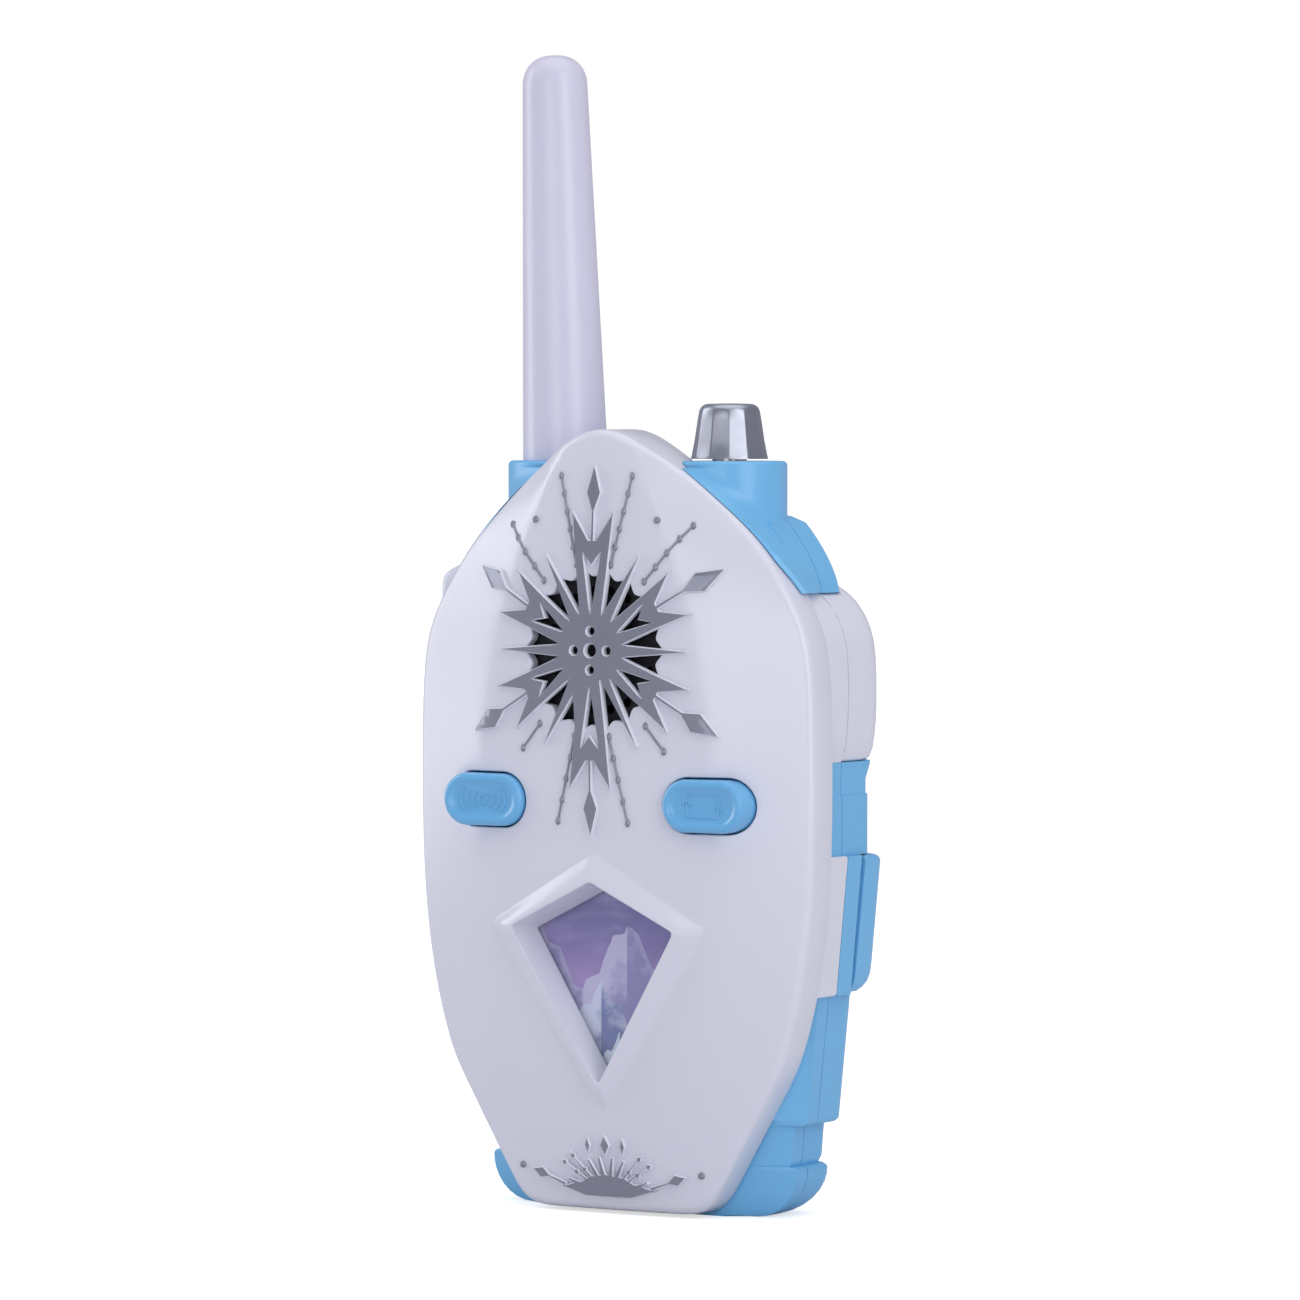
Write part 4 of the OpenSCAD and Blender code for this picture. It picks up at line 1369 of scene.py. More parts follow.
def strand_tree() -> NodeTree:
    """Tree that runs a round bead of material along lines, with a pearl at every step."""
    tree = new_tree(
        "pearled_strand",
        {
            "Geometry": "NodeSocketGeometry",
            "Thickness": "NodeSocketFloat",
            "Pearl": "NodeSocketFloat",
            "Step": "NodeSocketFloat",
            "Finish": "NodeSocketMaterial",
        },
    )
    given = add_node(tree, "NodeGroupInput")
    line = add_node(tree, "GeometryNodeMeshToCurve", {"Mesh": given.outputs["Geometry"]})
    round_bar = add_node(
        tree, "GeometryNodeCurvePrimitiveCircle", {"Resolution": 8, "Radius": given.outputs["Thickness"]}
    )
    bar = add_node(
        tree,
        "GeometryNodeCurveToMesh",
        {"Curve": line.outputs[0], "Profile Curve": round_bar.outputs[0], "Fill Caps": True},
    )
    pearl = add_node(
        tree, "GeometryNodeMeshIcoSphere", {"Radius": given.outputs["Pearl"], "Subdivisions": 3}
    )
    spots = add_node(
        tree,
        "GeometryNodeCurveToPoints",
        {"Curve": line.outputs[0], "Length": given.outputs["Step"]},
        mode="LENGTH",
    )
    pearls = add_node(
        tree,
        "GeometryNodeInstanceOnPoints",
        {"Points": spots.outputs[0], "Instance": pearl.outputs[0], "Scale": (1.0, 0.75, 1.5)},
    )
    both = add_node(tree, "GeometryNodeJoinGeometry")
    tree.links.new(bar.outputs[0], both.inputs[0])
    tree.links.new(pearls.outputs[0], both.inputs[0])
    close_tree(tree, given, both)
    return tree


def point_cloud(name: str, points: Sequence[Point]) -> Object:
    """Object with loose vertices, in millimetres."""
    return shaped(name, MeshParts(verts=list(points)), outward=False)


def polyline(name: str, lines: list[list[Point]]) -> Object:
    """Object with open edge lines, in millimetres.

    Args:
        name: the object's name.
        lines: points of each line.

    Returns:
        The object.
    """
    mesh = bpy.data.meshes.new(name)
    verts = [tuple(c * MM for c in p) for line in lines for p in line]
    edges, start = [], 0
    for line in lines:
        edges += [(start + i, start + i + 1) for i in range(len(line) - 1)]
        start += len(line)
    mesh.from_pydata(verts, edges, [])
    return put(name, mesh)


# ---- plain forms ----


def lathe(
    profile: Sequence[Flat], count: int, facets: Sequence[float] | None = None, sides: int = 12
) -> Rows:
    """Rows of rings about the Z axis.

    Args:
        profile: radius and height of each row.
        count: points in a row.
        facets: how faceted each row is, from 0 to 1.
        sides: number of flats.

    Returns:
        One ring for each row.
    """
    rows: Rows = []
    half = pi / sides
    for i, (radius, z) in enumerate(profile):
        row = []
        for k in range(count):
            a = 2 * pi * k / count
            flat = cos(half) / cos((a % (2 * half)) - half)
            r = radius * mix(1.0, flat, facets[i] if facets else 0.0)
            row.append((r * cos(a), r * sin(a), z))
        rows.append(row)
    return rows


def moved(rows: Rows, by: Point, lean_deg: float = 0.0) -> Rows:
    """Leans rows about the Y axis and moves them."""
    s, c = sin_cos(lean_deg)
    return [[(by[0] + x * c + z * s, by[1] + y, by[2] - x * s + z * c) for x, y, z in row] for row in rows]


def lathed(
    name: str,
    profile: Sequence[Flat],
    at: Point,
    count: int = 96,
    lean: float = 0.0,
    facets: Sequence[float] | None = None,
) -> Object:
    """Turned solid that stands at a place.

    Args:
        name: the object's name.
        profile: radius and height of each row.
        at: where its foot stands.
        count: points round it.
        lean: lean to the right in degrees.
        facets: how faceted each row is.

    Returns:
        The solid.
    """
    return skinned(name, moved(lathe(profile, count, facets), at, lean))


def box_parts(x0: float, x1: float, y0: float, y1: float, z0: float, z1: float) -> MeshParts:
    """Closed box for cutting."""
    return prism_y([(x0, z0), (x1, z0), (x1, z1), (x0, z1)], y0, y1)


def rod_parts(x: float, z: float, r: float, y0: float, y1: float, count: int = 48) -> MeshParts:
    """Closed round bar along Y for cutting."""
    return prism_y(circle(x, z, r, count), y0, y1)


# ---- casing ----


@dataclass(frozen=True)
class Step:
    """One height of the casing: half width, back plane and back corner radius."""

    z: float
    half: float
    back: float
    corner: float
    front: float = 4.02

    def drawn_in(self, turn: int, radius: float, way: int) -> "Step":
        """This row moved inwards and up or down along a quarter round."""
        s, c = sin_cos(turn)
        by = radius * (1 - s)
        return Step(
            self.z + way * radius * (1 - c), self.half - by, self.back - by, self.corner, self.front
        )


def eased(rows: list[Step], top: float = 0.0, bottom: float = 0.0) -> list[Step]:
    """Rounds the top and bottom edges of one block of the casing.

    Args:
        rows: the block's rows, from the foot up.
        top: radius at the top.
        bottom: radius at the bottom.

    Returns:
        The rows with the rounds in place.
    """
    made = [rows[0].drawn_in(turn, bottom, 1) for turn in (0, 30, 60, 90)] if bottom else rows[:1]
    made = made + rows[1:-1]
    return made + ([rows[-1].drawn_in(turn, top, -1) for turn in (90, 60, 30, 0)] if top else rows[-1:])


def u_row(step: Step) -> list[Point]:
    """U-shaped row round the back at one height, closed along the front."""
    w, back = step.half, step.back
    r = max(0.4, min(step.corner, back - step.front - 0.2))
    right = [(w, step.front), (w, mix(step.front, back - r, 0.04)), (w, mix(step.front, back - r, 0.5))]
    right += [
        (w - r + r * cos(radians(a)), back - r + r * sin(radians(a))) for a in range(0, 91, 9)
    ]
    right += [((w - r) * k / 5, back) for k in range(4, 0, -1)]
    return [(x, y, step.z) for x, y in right + [(0.0, back)] + [(-x, y) for x, y in right[::-1]]]


@dataclass
class Casing:
    """Blue casing halves, white side panels, white saddle and the lift-off battery door."""

    seam: float = 4.0
    step_y: float = 0.4
    flange: float = -2.3
    wall: float = 2.6
    panel: float = 1.8
    foot_top: float = 8.4
    ankle_top: float = 15.9
    shin_top: float = 38.0
    belt_top: float = 61.9
    waist_top: float = 77.7
    chest_top: float = 106.4
    shoulder_top: float = 120.4
    collar_top: float = 128.8
    collar_x: float = 16.6
    collar_y: float = 1.6
    collar_r: float = 9.9
    soft_edge: float = 0.9
    flange_width: float = 8.6
    flange_rise: float = 8.4
    # boxes from low to high in X, Y and Z
    talk_recess: Box = (-45, -30, -1.9, 8.9, 79.7, 108.4)
    talk_recess_top: Box = (-45, -32.9, -1.9, 8.9, 108.3, 111.9)
    bay_walls: tuple[Box, Box] = (
        (-25.8, 25.8, 4.04, 9.39, 37.4, 73.2), (-25.8, 25.8, 5.0, 14.0, 61.9, 73.2)
    )
    cell_bay: Box = (-24.5, 24.5, 3.2, 20, 38.7, 71.9)
    flap_seat: Box = (-29.3, 29.3, 14.1, 20, 60.9, 76.8)

    def chest(self, z: float) -> float:
        """Half width of the chest."""
        return 38.8 - (5 * ((z - 87.7) / 18.1) ** 4 if z > 87.7 else 1.1 * ((87.7 - z) / 9.7) ** 2)

    def shoulder(self, z: float) -> float:
        """Half width of the shoulder."""
        return 33.6 - 7.1 * (max(0.0, z - 106.1) / 12.7) ** 1.6 - 1.2 * max(0.0, z - 118.4) ** 1.4

    def foot(self) -> list[Step]:
        """Rows of the rounded foot."""
        rows = []
        for a in (0, 12, 24, 36, 48, 60, 72, 82, 90):
            s, c = sin_cos(a)
            rows.append(Step(8 * (1 - c), 22.8 + 8 * s, 8.2 + 5.8 * s, 4.6))
        return rows + eased(
            [Step(8.0, 30.8, 14.0, 4.6), Step(self.foot_top + 0.4, 30.8, 14.0, 4.6)], top=1.0
        )[1:]

    def blocks(self) -> list[list[Step]]:
        """Blocks of the rear casing, from the foot up."""
        e = self.soft_edge
        return [
            self.foot(),
            [
                Step(self.foot_top + 0.42, 29.2, 12.6, 3.4),
                Step(self.foot_top + 1.6, 29.7, 13.0, 3.4),
                Step(self.ankle_top, 30.2, 13.0, 3.4),
            ],
            eased([Step(self.ankle_top, 32.8, 14.0, 4.0), Step(self.shin_top, 35.0, 14.0, 4.0)], bottom=e),
            [Step(self.shin_top, 36.5, 9.4, 1.0), Step(self.belt_top - 0.1, 38.78, 9.4, 1.0)],
            [
                Step(self.belt_top - 0.1, 37.5, 15.5, 4.0),
                Step(72.0, 37.5, 15.5, 4.0),
                Step(72.2, 37.3, 15.2, 4.0),
                Step(74.6, 37.3, 15.2, 4.0),
                Step(77.2, 37.4, 17.4, 5.2),
                Step(self.waist_top, 37.4, 17.4, 5.2),
            ],
            [
                Step(z, self.chest(z) - self.panel, 16.7, 6.0)
                for z in np.linspace(self.waist_top, self.chest_top, 12)
            ],
            eased(
                [
                    Step(z, self.shoulder(z), 12.2 - 0.9 * max(0.0, z - 118.0) ** 1.4, 3.4)
                    for z in np.linspace(self.chest_top, self.shoulder_top, 14)
                ],
                top=0.5,
            ),
        ]

    def solid(self, name: str, steps: list[Step]) -> Object:
        """Closed solid through rows of the casing."""
        return skinned(name, [u_row(step) for step in steps])

    def collar(self, inset: float, low: float, high: float, edge: float = 0.8) -> Object:
        """Both collars as one solid with rounded upper edges.

        Args:
            inset: how much thinner than the outer collar.
            low: height of the foot.
            high: height of the top.
            edge: radius of the top edge.

        Returns:
            The solid.
        """
        parts = MeshParts()
        r = self.collar_r - inset
        for side in (-1, 1):
            profile = [(r, low), (r, 119.0), (r, high - edge)]
            for turn in (30, 60, 90):
                s, c = sin_cos(turn)
                profile.append((r - edge * (1 - c), high - edge * (1 - s)))
            parts.loft(
                moved(lathe(profile, 96), (side * self.collar_x, self.collar_y, 0.0)),
                cap_first=True,
                cap_last=True,
            )
        return shaped("collars", parts)

    def cheek(self, side: int) -> Object:
        """Blend that carries the shoulder and collar forward to the edge of the face plate."""
        rows: Rows = []
        for z in np.linspace(self.chest_top + 0.1, self.collar_top - 1.2, 24):
            x0 = FACE.width(z) + 0.14
            y0 = -5.0 - 2.6 * smooth((z - 106) / 7) - 2.1 * smooth((z - 112) / 14)
            dx, dy = x0 - self.collar_x, y0 - self.collar_y
            reach = hypot(dx, dy)
            turn = atan2(dy, dx) + acos(min(1.0, self.collar_r / reach))
            t = smooth((z - 117.0) / 3.5)
            x1 = mix(self.shoulder(min(z, 118.0)), self.collar_x + self.collar_r * cos(turn), t)
            y1 = mix(self.seam - 0.16, self.collar_y + self.collar_r * sin(turn), t)
            lip = max(0.0, 0.9 * (1 - smooth((z - 112) / 12)))
            row = [(x0 - 2.2, y0), (x0 + 0.3 * lip, y0), (x0 + lip, y0 + 0.7 * lip)]
            row += [(mix(x0 + lip, x1, k / 6), mix(y0 + 0.7 * lip, y1, k / 6)) for k in range(1, 7)]
            row += [(x1 - 2.2, y1), (x1 - 3.4, mix(y0, y1, 0.6))]
            rows.append([(side * x, y, z) for x, y in row])
        return skinned("cheek", rows)

    def rear(self) -> Object:
        """Rear casing half with collars, battery bay, door recess and screw wells."""
        steps = [step for block in self.blocks() for step in block]
        shell = self.solid("rear_casing_moulding", steps)
        hollow = (
            (2.0, 24.0, 10.4, 4.0),
            (5.0, 27.2, 11.4, 3.0),
            (15.0, 27.4, 11.0, 3.0),
            (17.0, 29.6, 11.8, 3.0),
            (36.0, 31.8, 11.8, 3.0),
            (36.5, 31.8, 7.4, 1.0),
            (63.0, 34.6, 7.4, 1.0),
            (64.0, 34.8, 13.0, 3.0),
            (77.0, 34.8, 13.0, 3.0),
            (79.0, 34.8, 14.2, 4.0),
            (101.0, 31.0, 14.2, 4.0),
            (104.0, 30.0, 9.8, 2.0),
            (112.0, 28.6, 9.8, 2.0),
            (116.4, 24.6, 9.6, 2.0),
        )
        core = [Step(*row, front=0.0) for row in hollow]
        boolean(shell, self.collar(0.0, 112.0, self.collar_top), "UNION")
        cut(shell, box_parts(-60, 60, -30, self.seam + 0.03, -5, 140))
        boolean(shell, self.solid("core", core), "DIFFERENCE")
        boolean(shell, self.collar(2.0, 111.0, self.collar_top - 2.0, 0.1), "DIFFERENCE")
        for wall in self.bay_walls:
            boolean(shell, shaped("bay", box_parts(*wall)), "UNION")
        cut(shell, box_parts(*self.cell_bay))
        cut(shell, box_parts(*self.flap_seat))
        cut(shell, box_parts(*self.talk_recess))
        wells = MeshParts()
        for x, z in (UPPER_SHELL_SCREW, LOWER_SHELL_SCREW):
            for side in (-1, 1):
                well = rod_parts(side * x, z, 2.35, 8.0, 20.0)
                wells.add(well.verts, well.faces)
        cut(shell, wells)
        cut(shell, rod_parts(*DOOR_SCREW, 1.1, 6.0, 20.0))
        return self.finish_edges(shell, 0.22)

    def finish_edges(self, obj: Object, width: float) -> Object:
        """Breaks the sharp edges of a moulding and evens its shading.

        Args:
            obj: the moulding.
            width: width of the round in mm.

        Returns:
            The same object.
        """
        modify(
            obj,
            "BEVEL",
            width=width * MM,
            segments=2,
            limit_method="ANGLE",
            angle_limit=radians(42),
            use_clamp_overlap=True,
        )
        freeze(obj, 42)
        modify(obj, "WEIGHTED_NORMAL", keep_sharp=True)
        bake(obj)
        return obj

    def outline(self) -> Outline:
        """Right half of the front casing's outline, from the middle of the foot to the middle top."""
        line: Outline = [(0.0, 0.0), (12.0, 0.0)]
        last: Flat | None = None
        for block, inset in zip(self.blocks(), (0, 0, 0, self.panel, 0, 0, 0)):
            for step in block:
                point = (step.half - inset, step.z)
                if last != point:
                    line.append(point)
                last = point
        return line + [(12.0, self.shoulder_top), (0.0, self.shoulder_top)]

    def front(self) -> Object:
        """Front casing half: mounting flange behind the face, full outline behind that."""
        right = self.outline()
        loop = right + [(-x, z) for x, z in right[::-1] if x > 0]
        rows: Rows = [[] for _ in range(9)]
        for x, z in loop:
            side = copysign(1.0, x) if x else 0.0
            rim = min(abs(x), 50.0 if z > 60 else FACE.width(max(z, 0.61)) - 0.5)
            up = 1.0 if z < 0.01 else (-1.0 if z > self.shoulder_top - 0.01 else 0.0)

            def at(half: float, drop: float, y: float) -> Point:
                """Point at a half width, drawn in from the ends by drop."""
                return (
                    side * max(0.0, min(abs(x), half)),
                    y,
                    min(max(z, drop), self.shoulder_top - drop) if up or drop else z,
                )

            full = abs(x)
            profile = [
                at(full - 0.12, 0.1, self.seam - 0.02),
                at(full, 0.0, self.seam - 0.16),
                at(full, 0.0, self.step_y + 0.15),
                at(full - 0.15, 0.1, self.step_y),
                at(rim, 0.0, self.flange),
                at(rim - self.flange_width, self.flange_rise, self.flange),
                at(rim - self.flange_width, self.flange_rise, self.flange + 1.9),
                at(full - self.wall, 2.0, self.flange + 1.9 if rim == full else self.step_y + 1.9),
                at(full - self.wall, 2.0, self.seam - 0.02),
            ]
            for row, point in zip(rows, profile):
                row.append(point)
        parts = MeshParts()
        parts.loft(rows + [rows[0]])
        shell = shaped("front_casing_moulding", parts, merge_mm=0.003)
        collars = self.collar(0.0, 116.9, self.collar_top)
        cut(collars, box_parts(-60, 60, self.seam - 0.02, 40, 100, 140))
        boolean(shell, collars, "UNION")
        for side in (-1, 1):
            boolean(shell, self.cheek(side), "UNION")
        plate = [(FACE.width(z) + 0.15, z) for z in np.linspace(104.0, 134.3, 24)]
        cut(shell, prism_y(mirrored(plate), -20.0, self.flange - 0.05))
        boolean(shell, self.collar(2.0, 111.0, self.collar_top - 2.0, 0.1), "DIFFERENCE")
        cut(shell, box_parts(*self.talk_recess))
        cut(shell, box_parts(*self.talk_recess_top))
        return self.finish_edges(shell, 0.2)

    def side_panel(self, name: str, side: int, rows: Outline, gap: bool) -> Object:
        """White panel on the side of the front casing.

        Args:
            name: the piece's name.
            side: -1 for the left, 1 for the right.
            rows: half width and height of each row.
            gap: whether the talk key passes it.

        Returns:
            The panel.
        """
        sections: Rows = []
        for i, (half, z) in enumerate(rows):
            end = 0.25 if i in (0, len(rows) - 1) else 0.0
            outer = half - end
            sections.append(
                [
                    (side * x, y, z)
                    for x, y in (
                        (half - self.panel, self.flange),
                        (outer - 0.15, self.flange),
                        (outer, self.flange + 0.2),
                        (outer, self.seam - 0.2),
                        (outer - 0.15, self.seam - 0.03),
                        (half - self.panel, self.seam - 0.03),
                    )
                ]
            )
        panel = skinned(name, sections)
        if gap:
            cut(panel, box_parts(*self.talk_recess))
        return self.finish_edges(panel, 0.15)

    def saddle(self) -> Object:
        """White saddle round the back of the chest, its crest rising over the shoulder."""
        rows = eased(
            [Step(z, self.chest(z), 18.5, 7.0) for z in np.linspace(self.waist_top, 104.6, 13)], bottom=1.2
        )
        crest = ((105.7, 18.35), (106.6, 18.05), (107.4, 17.55), (108.0, 16.9), (108.4, 15.9))
        rows += [Step(z, self.chest(z), back, 7.0) for z, back in crest]
        saddle = self.solid("saddle_moulding", rows)
        inner = [
            Step(z, self.chest(min(z, self.chest_top)) - self.panel - 0.02, 16.72, 6.0, -2.0)
            for z in np.linspace(self.waist_top - 1, self.chest_top, 14)
        ]
        boolean(saddle, self.solid("core", inner), "DIFFERENCE")
        top = [
            Step(z, self.shoulder(z) + 0.02, 12.22, 3.4, -2.0)
            for z in np.linspace(self.chest_top - 0.1, self.chest_top + 4, 5)
        ]
        boolean(saddle, self.solid("core", top), "DIFFERENCE")
        for side in (-1, 1):
            cut(saddle, rod_parts(side * UPPER_SHELL_SCREW[0], UPPER_SHELL_SCREW[1], 2.6, 8.0, 20.0))
        cut(saddle, box_parts(*self.talk_recess))
        return self.finish_edges(saddle, 0.18)

    def door(self) -> Object:
        """Battery door: belt block, slanted lower edge and the flap with its screw hole."""
        slant = [Step(36.2, 31.6, 14.5, 2.0, 14.12), Step(38.2, 32.8, 16.2, 2.4, 14.12)]
        low = [
            (38.25, 35.4, 16.2),
            (38.9, 36.0, 17.0),
            (39.9, 36.5, 17.8),
            (41.2, 36.8, 18.25),
            (43.0, 36.98, 18.4),
        ]
        belt = eased(
            [Step(z, half, back, 4.8, 9.72) for z, half, back in low] + [Step(61.7, 38.8, 18.4, 5.0, 9.72)],
            top=1.1,
        )
        door = self.solid("battery_door_moulding", belt)
        wedge = self.solid("wedge", [*slant, Step(38.6, 32.8, 16.4, 2.4, 14.12)])
        boolean(door, wedge, "UNION")
        inner = [Step(39.4, 33.4, 16.4, 3.2, 8.0), Step(59.9, 35.4, 16.4, 3.2, 8.0)]
        boolean(door, self.solid("core", inner), "DIFFERENCE")
        cut(door, box_parts(-26.1, 26.1, 0.0, 16.4, 57.9, 63.0))
        flap = [(29.0, 61.4), (29.0, 74.9), (27.4, 76.5)]
        boolean(door, shaped("flap", prism_y(mirrored(flap), 14.3, 15.5)), "UNION")
        boolean(door, shaped("link", box_parts(-26, 26, 14.3, 16.5, 61.3, 61.65)), "UNION")
        cut(door, rod_parts(*DOOR_SCREW, 1.4, 0.0, 20.0))
        return self.finish_edges(door, 0.3)

    def make(self) -> None:
        """Builds, dresses and seats every casing piece."""
        seat(dress(self.front(), Finish.BLUE_ABS), "casing", "blue_plastic", "front_shell")
        seat(dress(self.rear(), Finish.BLUE_ABS), "casing", "blue_plastic", "rear_shell")
        chest = [(self.chest(z), z) for z in np.linspace(self.waist_top, self.chest_top, 12)]
        belt = [
            (mix(36.5, 38.8, t), mix(self.shin_top, self.belt_top, t)) for t in (0.0, 0.02, 0.5, 0.98, 1.0)
        ]
        for side, word in ((-1, "left"), (1, "right")):
            upper = self.side_panel(f"{word}_chest_panel_moulding", side, chest, side < 0)
            seat(dress(upper, Finish.WHITE_ABS), "casing", "white_plastic", f"{word}_chest_panel")
            lower = self.side_panel(f"{word}_belt_panel_moulding", side, belt, False)
            seat(dress(lower, Finish.WHITE_ABS), "casing", "white_plastic", f"{word}_belt_panel")
        seat(dress(self.saddle(), Finish.WHITE_ABS), "casing", "white_plastic", "rear_saddle")
        seat(dress(self.door(), Finish.BLUE_ABS), "battery_cover", "blue_plastic", "battery_door")


# ---- top and controls ----


@dataclass
class TopEnd:
    """Antenna sleeve and faceted volume knob."""

    x: float = 16.6
    y: float = 1.6
    z: float = 128.8
    tip: float = 198.9
    root_r: float = 7.35
    end_r: float = 5.6
    lean: float = 1.9
    knob_r: float = 6.57

    def antenna(self) -> Object:
        """Tapered sleeve with a rounded end."""
        length = self.tip - self.z
        profile = [(self.root_r, -0.25), (self.root_r, 0.6)]
        profile += [
            (mix(self.root_r, self.end_r, t), mix(0.6, length - 5.2, t)) for t in (0.25, 0.5, 0.75, 1.0)
        ]
        for turn in range(10, 91, 10):
            s, c = sin_cos(turn)
            profile.append((max(0.05, self.end_r * c**0.8), length - 5.2 + 5.1 * s))
        return freeze(lathed("antenna_sleeve", profile, (-self.x, self.y, self.z), 112, -self.lean), 50)

    def knob(self) -> Object:
        """Plated knob: flared skirt, twelve long flats and a rounded top."""
        r = self.knob_r
        profile = [(r, 0.0), (r, 0.25), (r - 0.12, 0.6), (5.95, 3.2), (5.45, 6.6), (5.3, 7.5)]
        facets = [0.35, 0.6, 0.9, 1.0, 1.0, 0.75]
        for turn in (15, 30, 45, 60, 75, 90):
            s, c = sin_cos(turn)
            profile.append((3.6 + 1.62 * c, 7.8 + 1.6 * s))
            facets.append(max(0.0, 0.5 - turn / 90))
        profile += [(2.4, 9.44), (1.2, 9.47), (0.05, 9.48)]
        facets += [0.0, 0.0, 0.0]
        knob = lathed("plated_volume_knob", profile, (self.x, self.y, self.z + 0.3), 192, facets=facets)
        return freeze(knob, 40)

    def make(self) -> None:
        """Builds, dresses and seats both pieces."""
        seat(dress(self.antenna(), Finish.SLEEVE), "casing", "white_plastic", "antenna")
        seat(dress(self.knob(), Finish.PLATED), "volume_knob", "bright_plating", "volume_knob")


@dataclass
class Keys:
    """The two front keys with raised marks and the talk key on the left side."""

    length: float = 16.0
    height: float = 9.0
    front: float = -16.7
    dish: float = -16.15
    mark_r: float = 0.17

    def cap(self, name: str, side: int, marks: list[Outline]) -> Object:
        """Key cap with a rounded rim, a dished face and raised marks.

        Args:
            name: the piece's name.
            side: -1 for the left, 1 for the right.
            marks: lines of the raised sign.

        Returns:
            The key.
        """
        shape = np.array(stadium(self.length, self.height, 96))
        reach = self.length / 2 - self.height / 2
        spine = np.clip(shape[:, 0], -reach, reach)
        away = np.stack([shape[:, 0] - spine, shape[:, 1]], axis=1) / (self.height / 2)
        rows: Rows = []
        profile = [(-0.8, -8.6), (-0.8, -9.4), (0.0, -9.42), (0.0, self.front + 1.0)]
        profile += [
            (0.9 * (1 - cos(a)), self.front + 0.9 * (1 - sin(a)) + 0.02)
            for a in np.radians([18, 36, 54, 72, 90])
        ]
        profile += [
            (1.15, self.front + 0.03),
            (1.4, self.front + 0.14),
            (1.7, self.front + 0.34),
            (2.0, self.dish - 0.08),
            (2.4, self.dish),
            (3.2, self.dish + 0.05),
            (3.9, self.dish + 0.07),
            (4.42, self.dish + 0.08),
        ]
        for inset, y in profile:
            row = np.stack([spine, np.zeros(len(spine))], axis=1) + away * (self.height / 2 - inset)
            rows.append([(side * KEY_X + px, y, KEY_Z + pz) for px, pz in row])
        cap = freeze(skinned(name, rows), 50)
        lines = [[(side * KEY_X + px, self.dish + 0.02, KEY_Z + pz) for px, pz in mark] for mark in marks]
        strands = run_tree(
            polyline("raised_marks", lines),
            TREES["strand"],
            Thickness=self.mark_r * MM,
            Pearl=self.mark_r * MM,
            Step=40 * MM,
            Finish=material_of(Finish.BLUE_CAP),
        )
        return merged(name, [dress(cap, Finish.BLUE_CAP), strands])

    def waves(self) -> list[Outline]:
        """Signal waves: a dot ring and three pairs of arcs."""
        marks = [[(0.8 * cos(a), 0.8 * sin(a)) for a in np.linspace(0, 2 * pi, 20)]]
        for r, half in ((1.6, 60), (2.5, 48), (3.4, 38)):
            for mid in (0, 180):
                marks.append(
                    [
                        (1.35 * r * cos(a), r * sin(a) * 0.9)
                        for a in np.radians(np.linspace(mid - half, mid + half, 18))
                    ]
                )
        return marks

    def arrows(self) -> list[Outline]:
        """Two arrows that chase each other round a rectangle."""
        marks = []
        for side in (-1, 1):
            marks.append(
                [(side * x, side * z) for x, z in ((-3.1, 0.4), (-3.1, 1.9), (3.1, 1.9), (3.1, -0.9))]
            )
            marks.append([(side * x, side * z) for x, z in ((2.35, -0.2), (3.1, -1.0), (3.85, -0.2))])
        return marks

    def talk(self) -> Object:
        """Long rounded push-to-talk key."""
        mid_y, mid_z = 3.5, 95.75
        shape = stadium(31.5, 10.2, 120)
        rows: Rows = []
        profile = [(-34.9, 0.0), (-39.3, 0.0)]
        profile += [(-39.3 - 1.5 * sin(a), 1.5 * (1 - cos(a))) for a in np.radians([18, 36, 54, 72, 90])]
        profile += [(-40.8, 2.6), (-40.75, 4.0), (-40.7, 5.0)]
        for x, inset in profile:
            row = []
            for along, across in shape:
                spine = max(-10.65, min(10.65, along))
                scale = (5.1 - inset) / 5.1
                px, py = spine + (along - spine) * scale, across * scale
                z = mid_z + px
                bend = 33.8 + sqrt(max(0.5, 81 - max(0.0, z - 102.5) ** 2))
                row.append((max(x, -bend), mid_y + py, z))
            rows.append(row)
        parts = MeshParts()
        parts.loft(rows, cap_first=True, cap_last=True)
        return freeze(shaped("talk_key_moulding", parts, merge_mm=0.003), 50)

    def make(self) -> None:
        """Builds, dresses and seats the keys."""
        seat(self.cap("left_front_key", -1, self.waves()), "left_key", "blue_plastic", "left_button")
        seat(self.cap("right_front_key", 1, self.arrows()), "right_key", "blue_plastic", "right_button")
        seat(dress(self.talk(), Finish.WHITE_ABS), "talk_key", "white_plastic", "talk_button")


def merged(name: str, pieces: list[Object]) -> Object:
    """Joins objects into one, with their materials.

    Args:
        name: the new object's name.
        pieces: the objects, which are used up.

    Returns:
        The new object.
    """
    work = bmesh.new()
    mesh = bpy.data.meshes.new(name)
    for piece in pieces:
        shift = len(mesh.materials)
        for material in piece.data.materials:
            mesh.materials.append(material)
        before = len(work.faces)
        work.from_mesh(piece.data)
        work.faces.ensure_lookup_table()
        for face in work.faces[before:]:
            face.material_index += shift
    work.to_mesh(mesh)
    work.free()
    for piece in pieces:
        bpy.data.objects.remove(piece)
    mesh.set_sharp_from_angle(angle=radians(50))
    return put(name, mesh)


# ---- hardware ----


TREES: dict[str, NodeTree] = {}


def both_sides(*spots: Flat) -> Outline:
    """Every spot with its mirror image."""
    return [(side * x, z) for x, z in spots for side in (-1, 1)]


@dataclass(frozen=True)
class ScrewSet:
    """Equal screws of one CAD node: the plane of their heads' backs, their sizes and spots."""

    node: str
    back: float
    head_r: float
    head_t: float
    shank_r: float
    shank_l: float
    spots: Outline
    body: str = "casing"


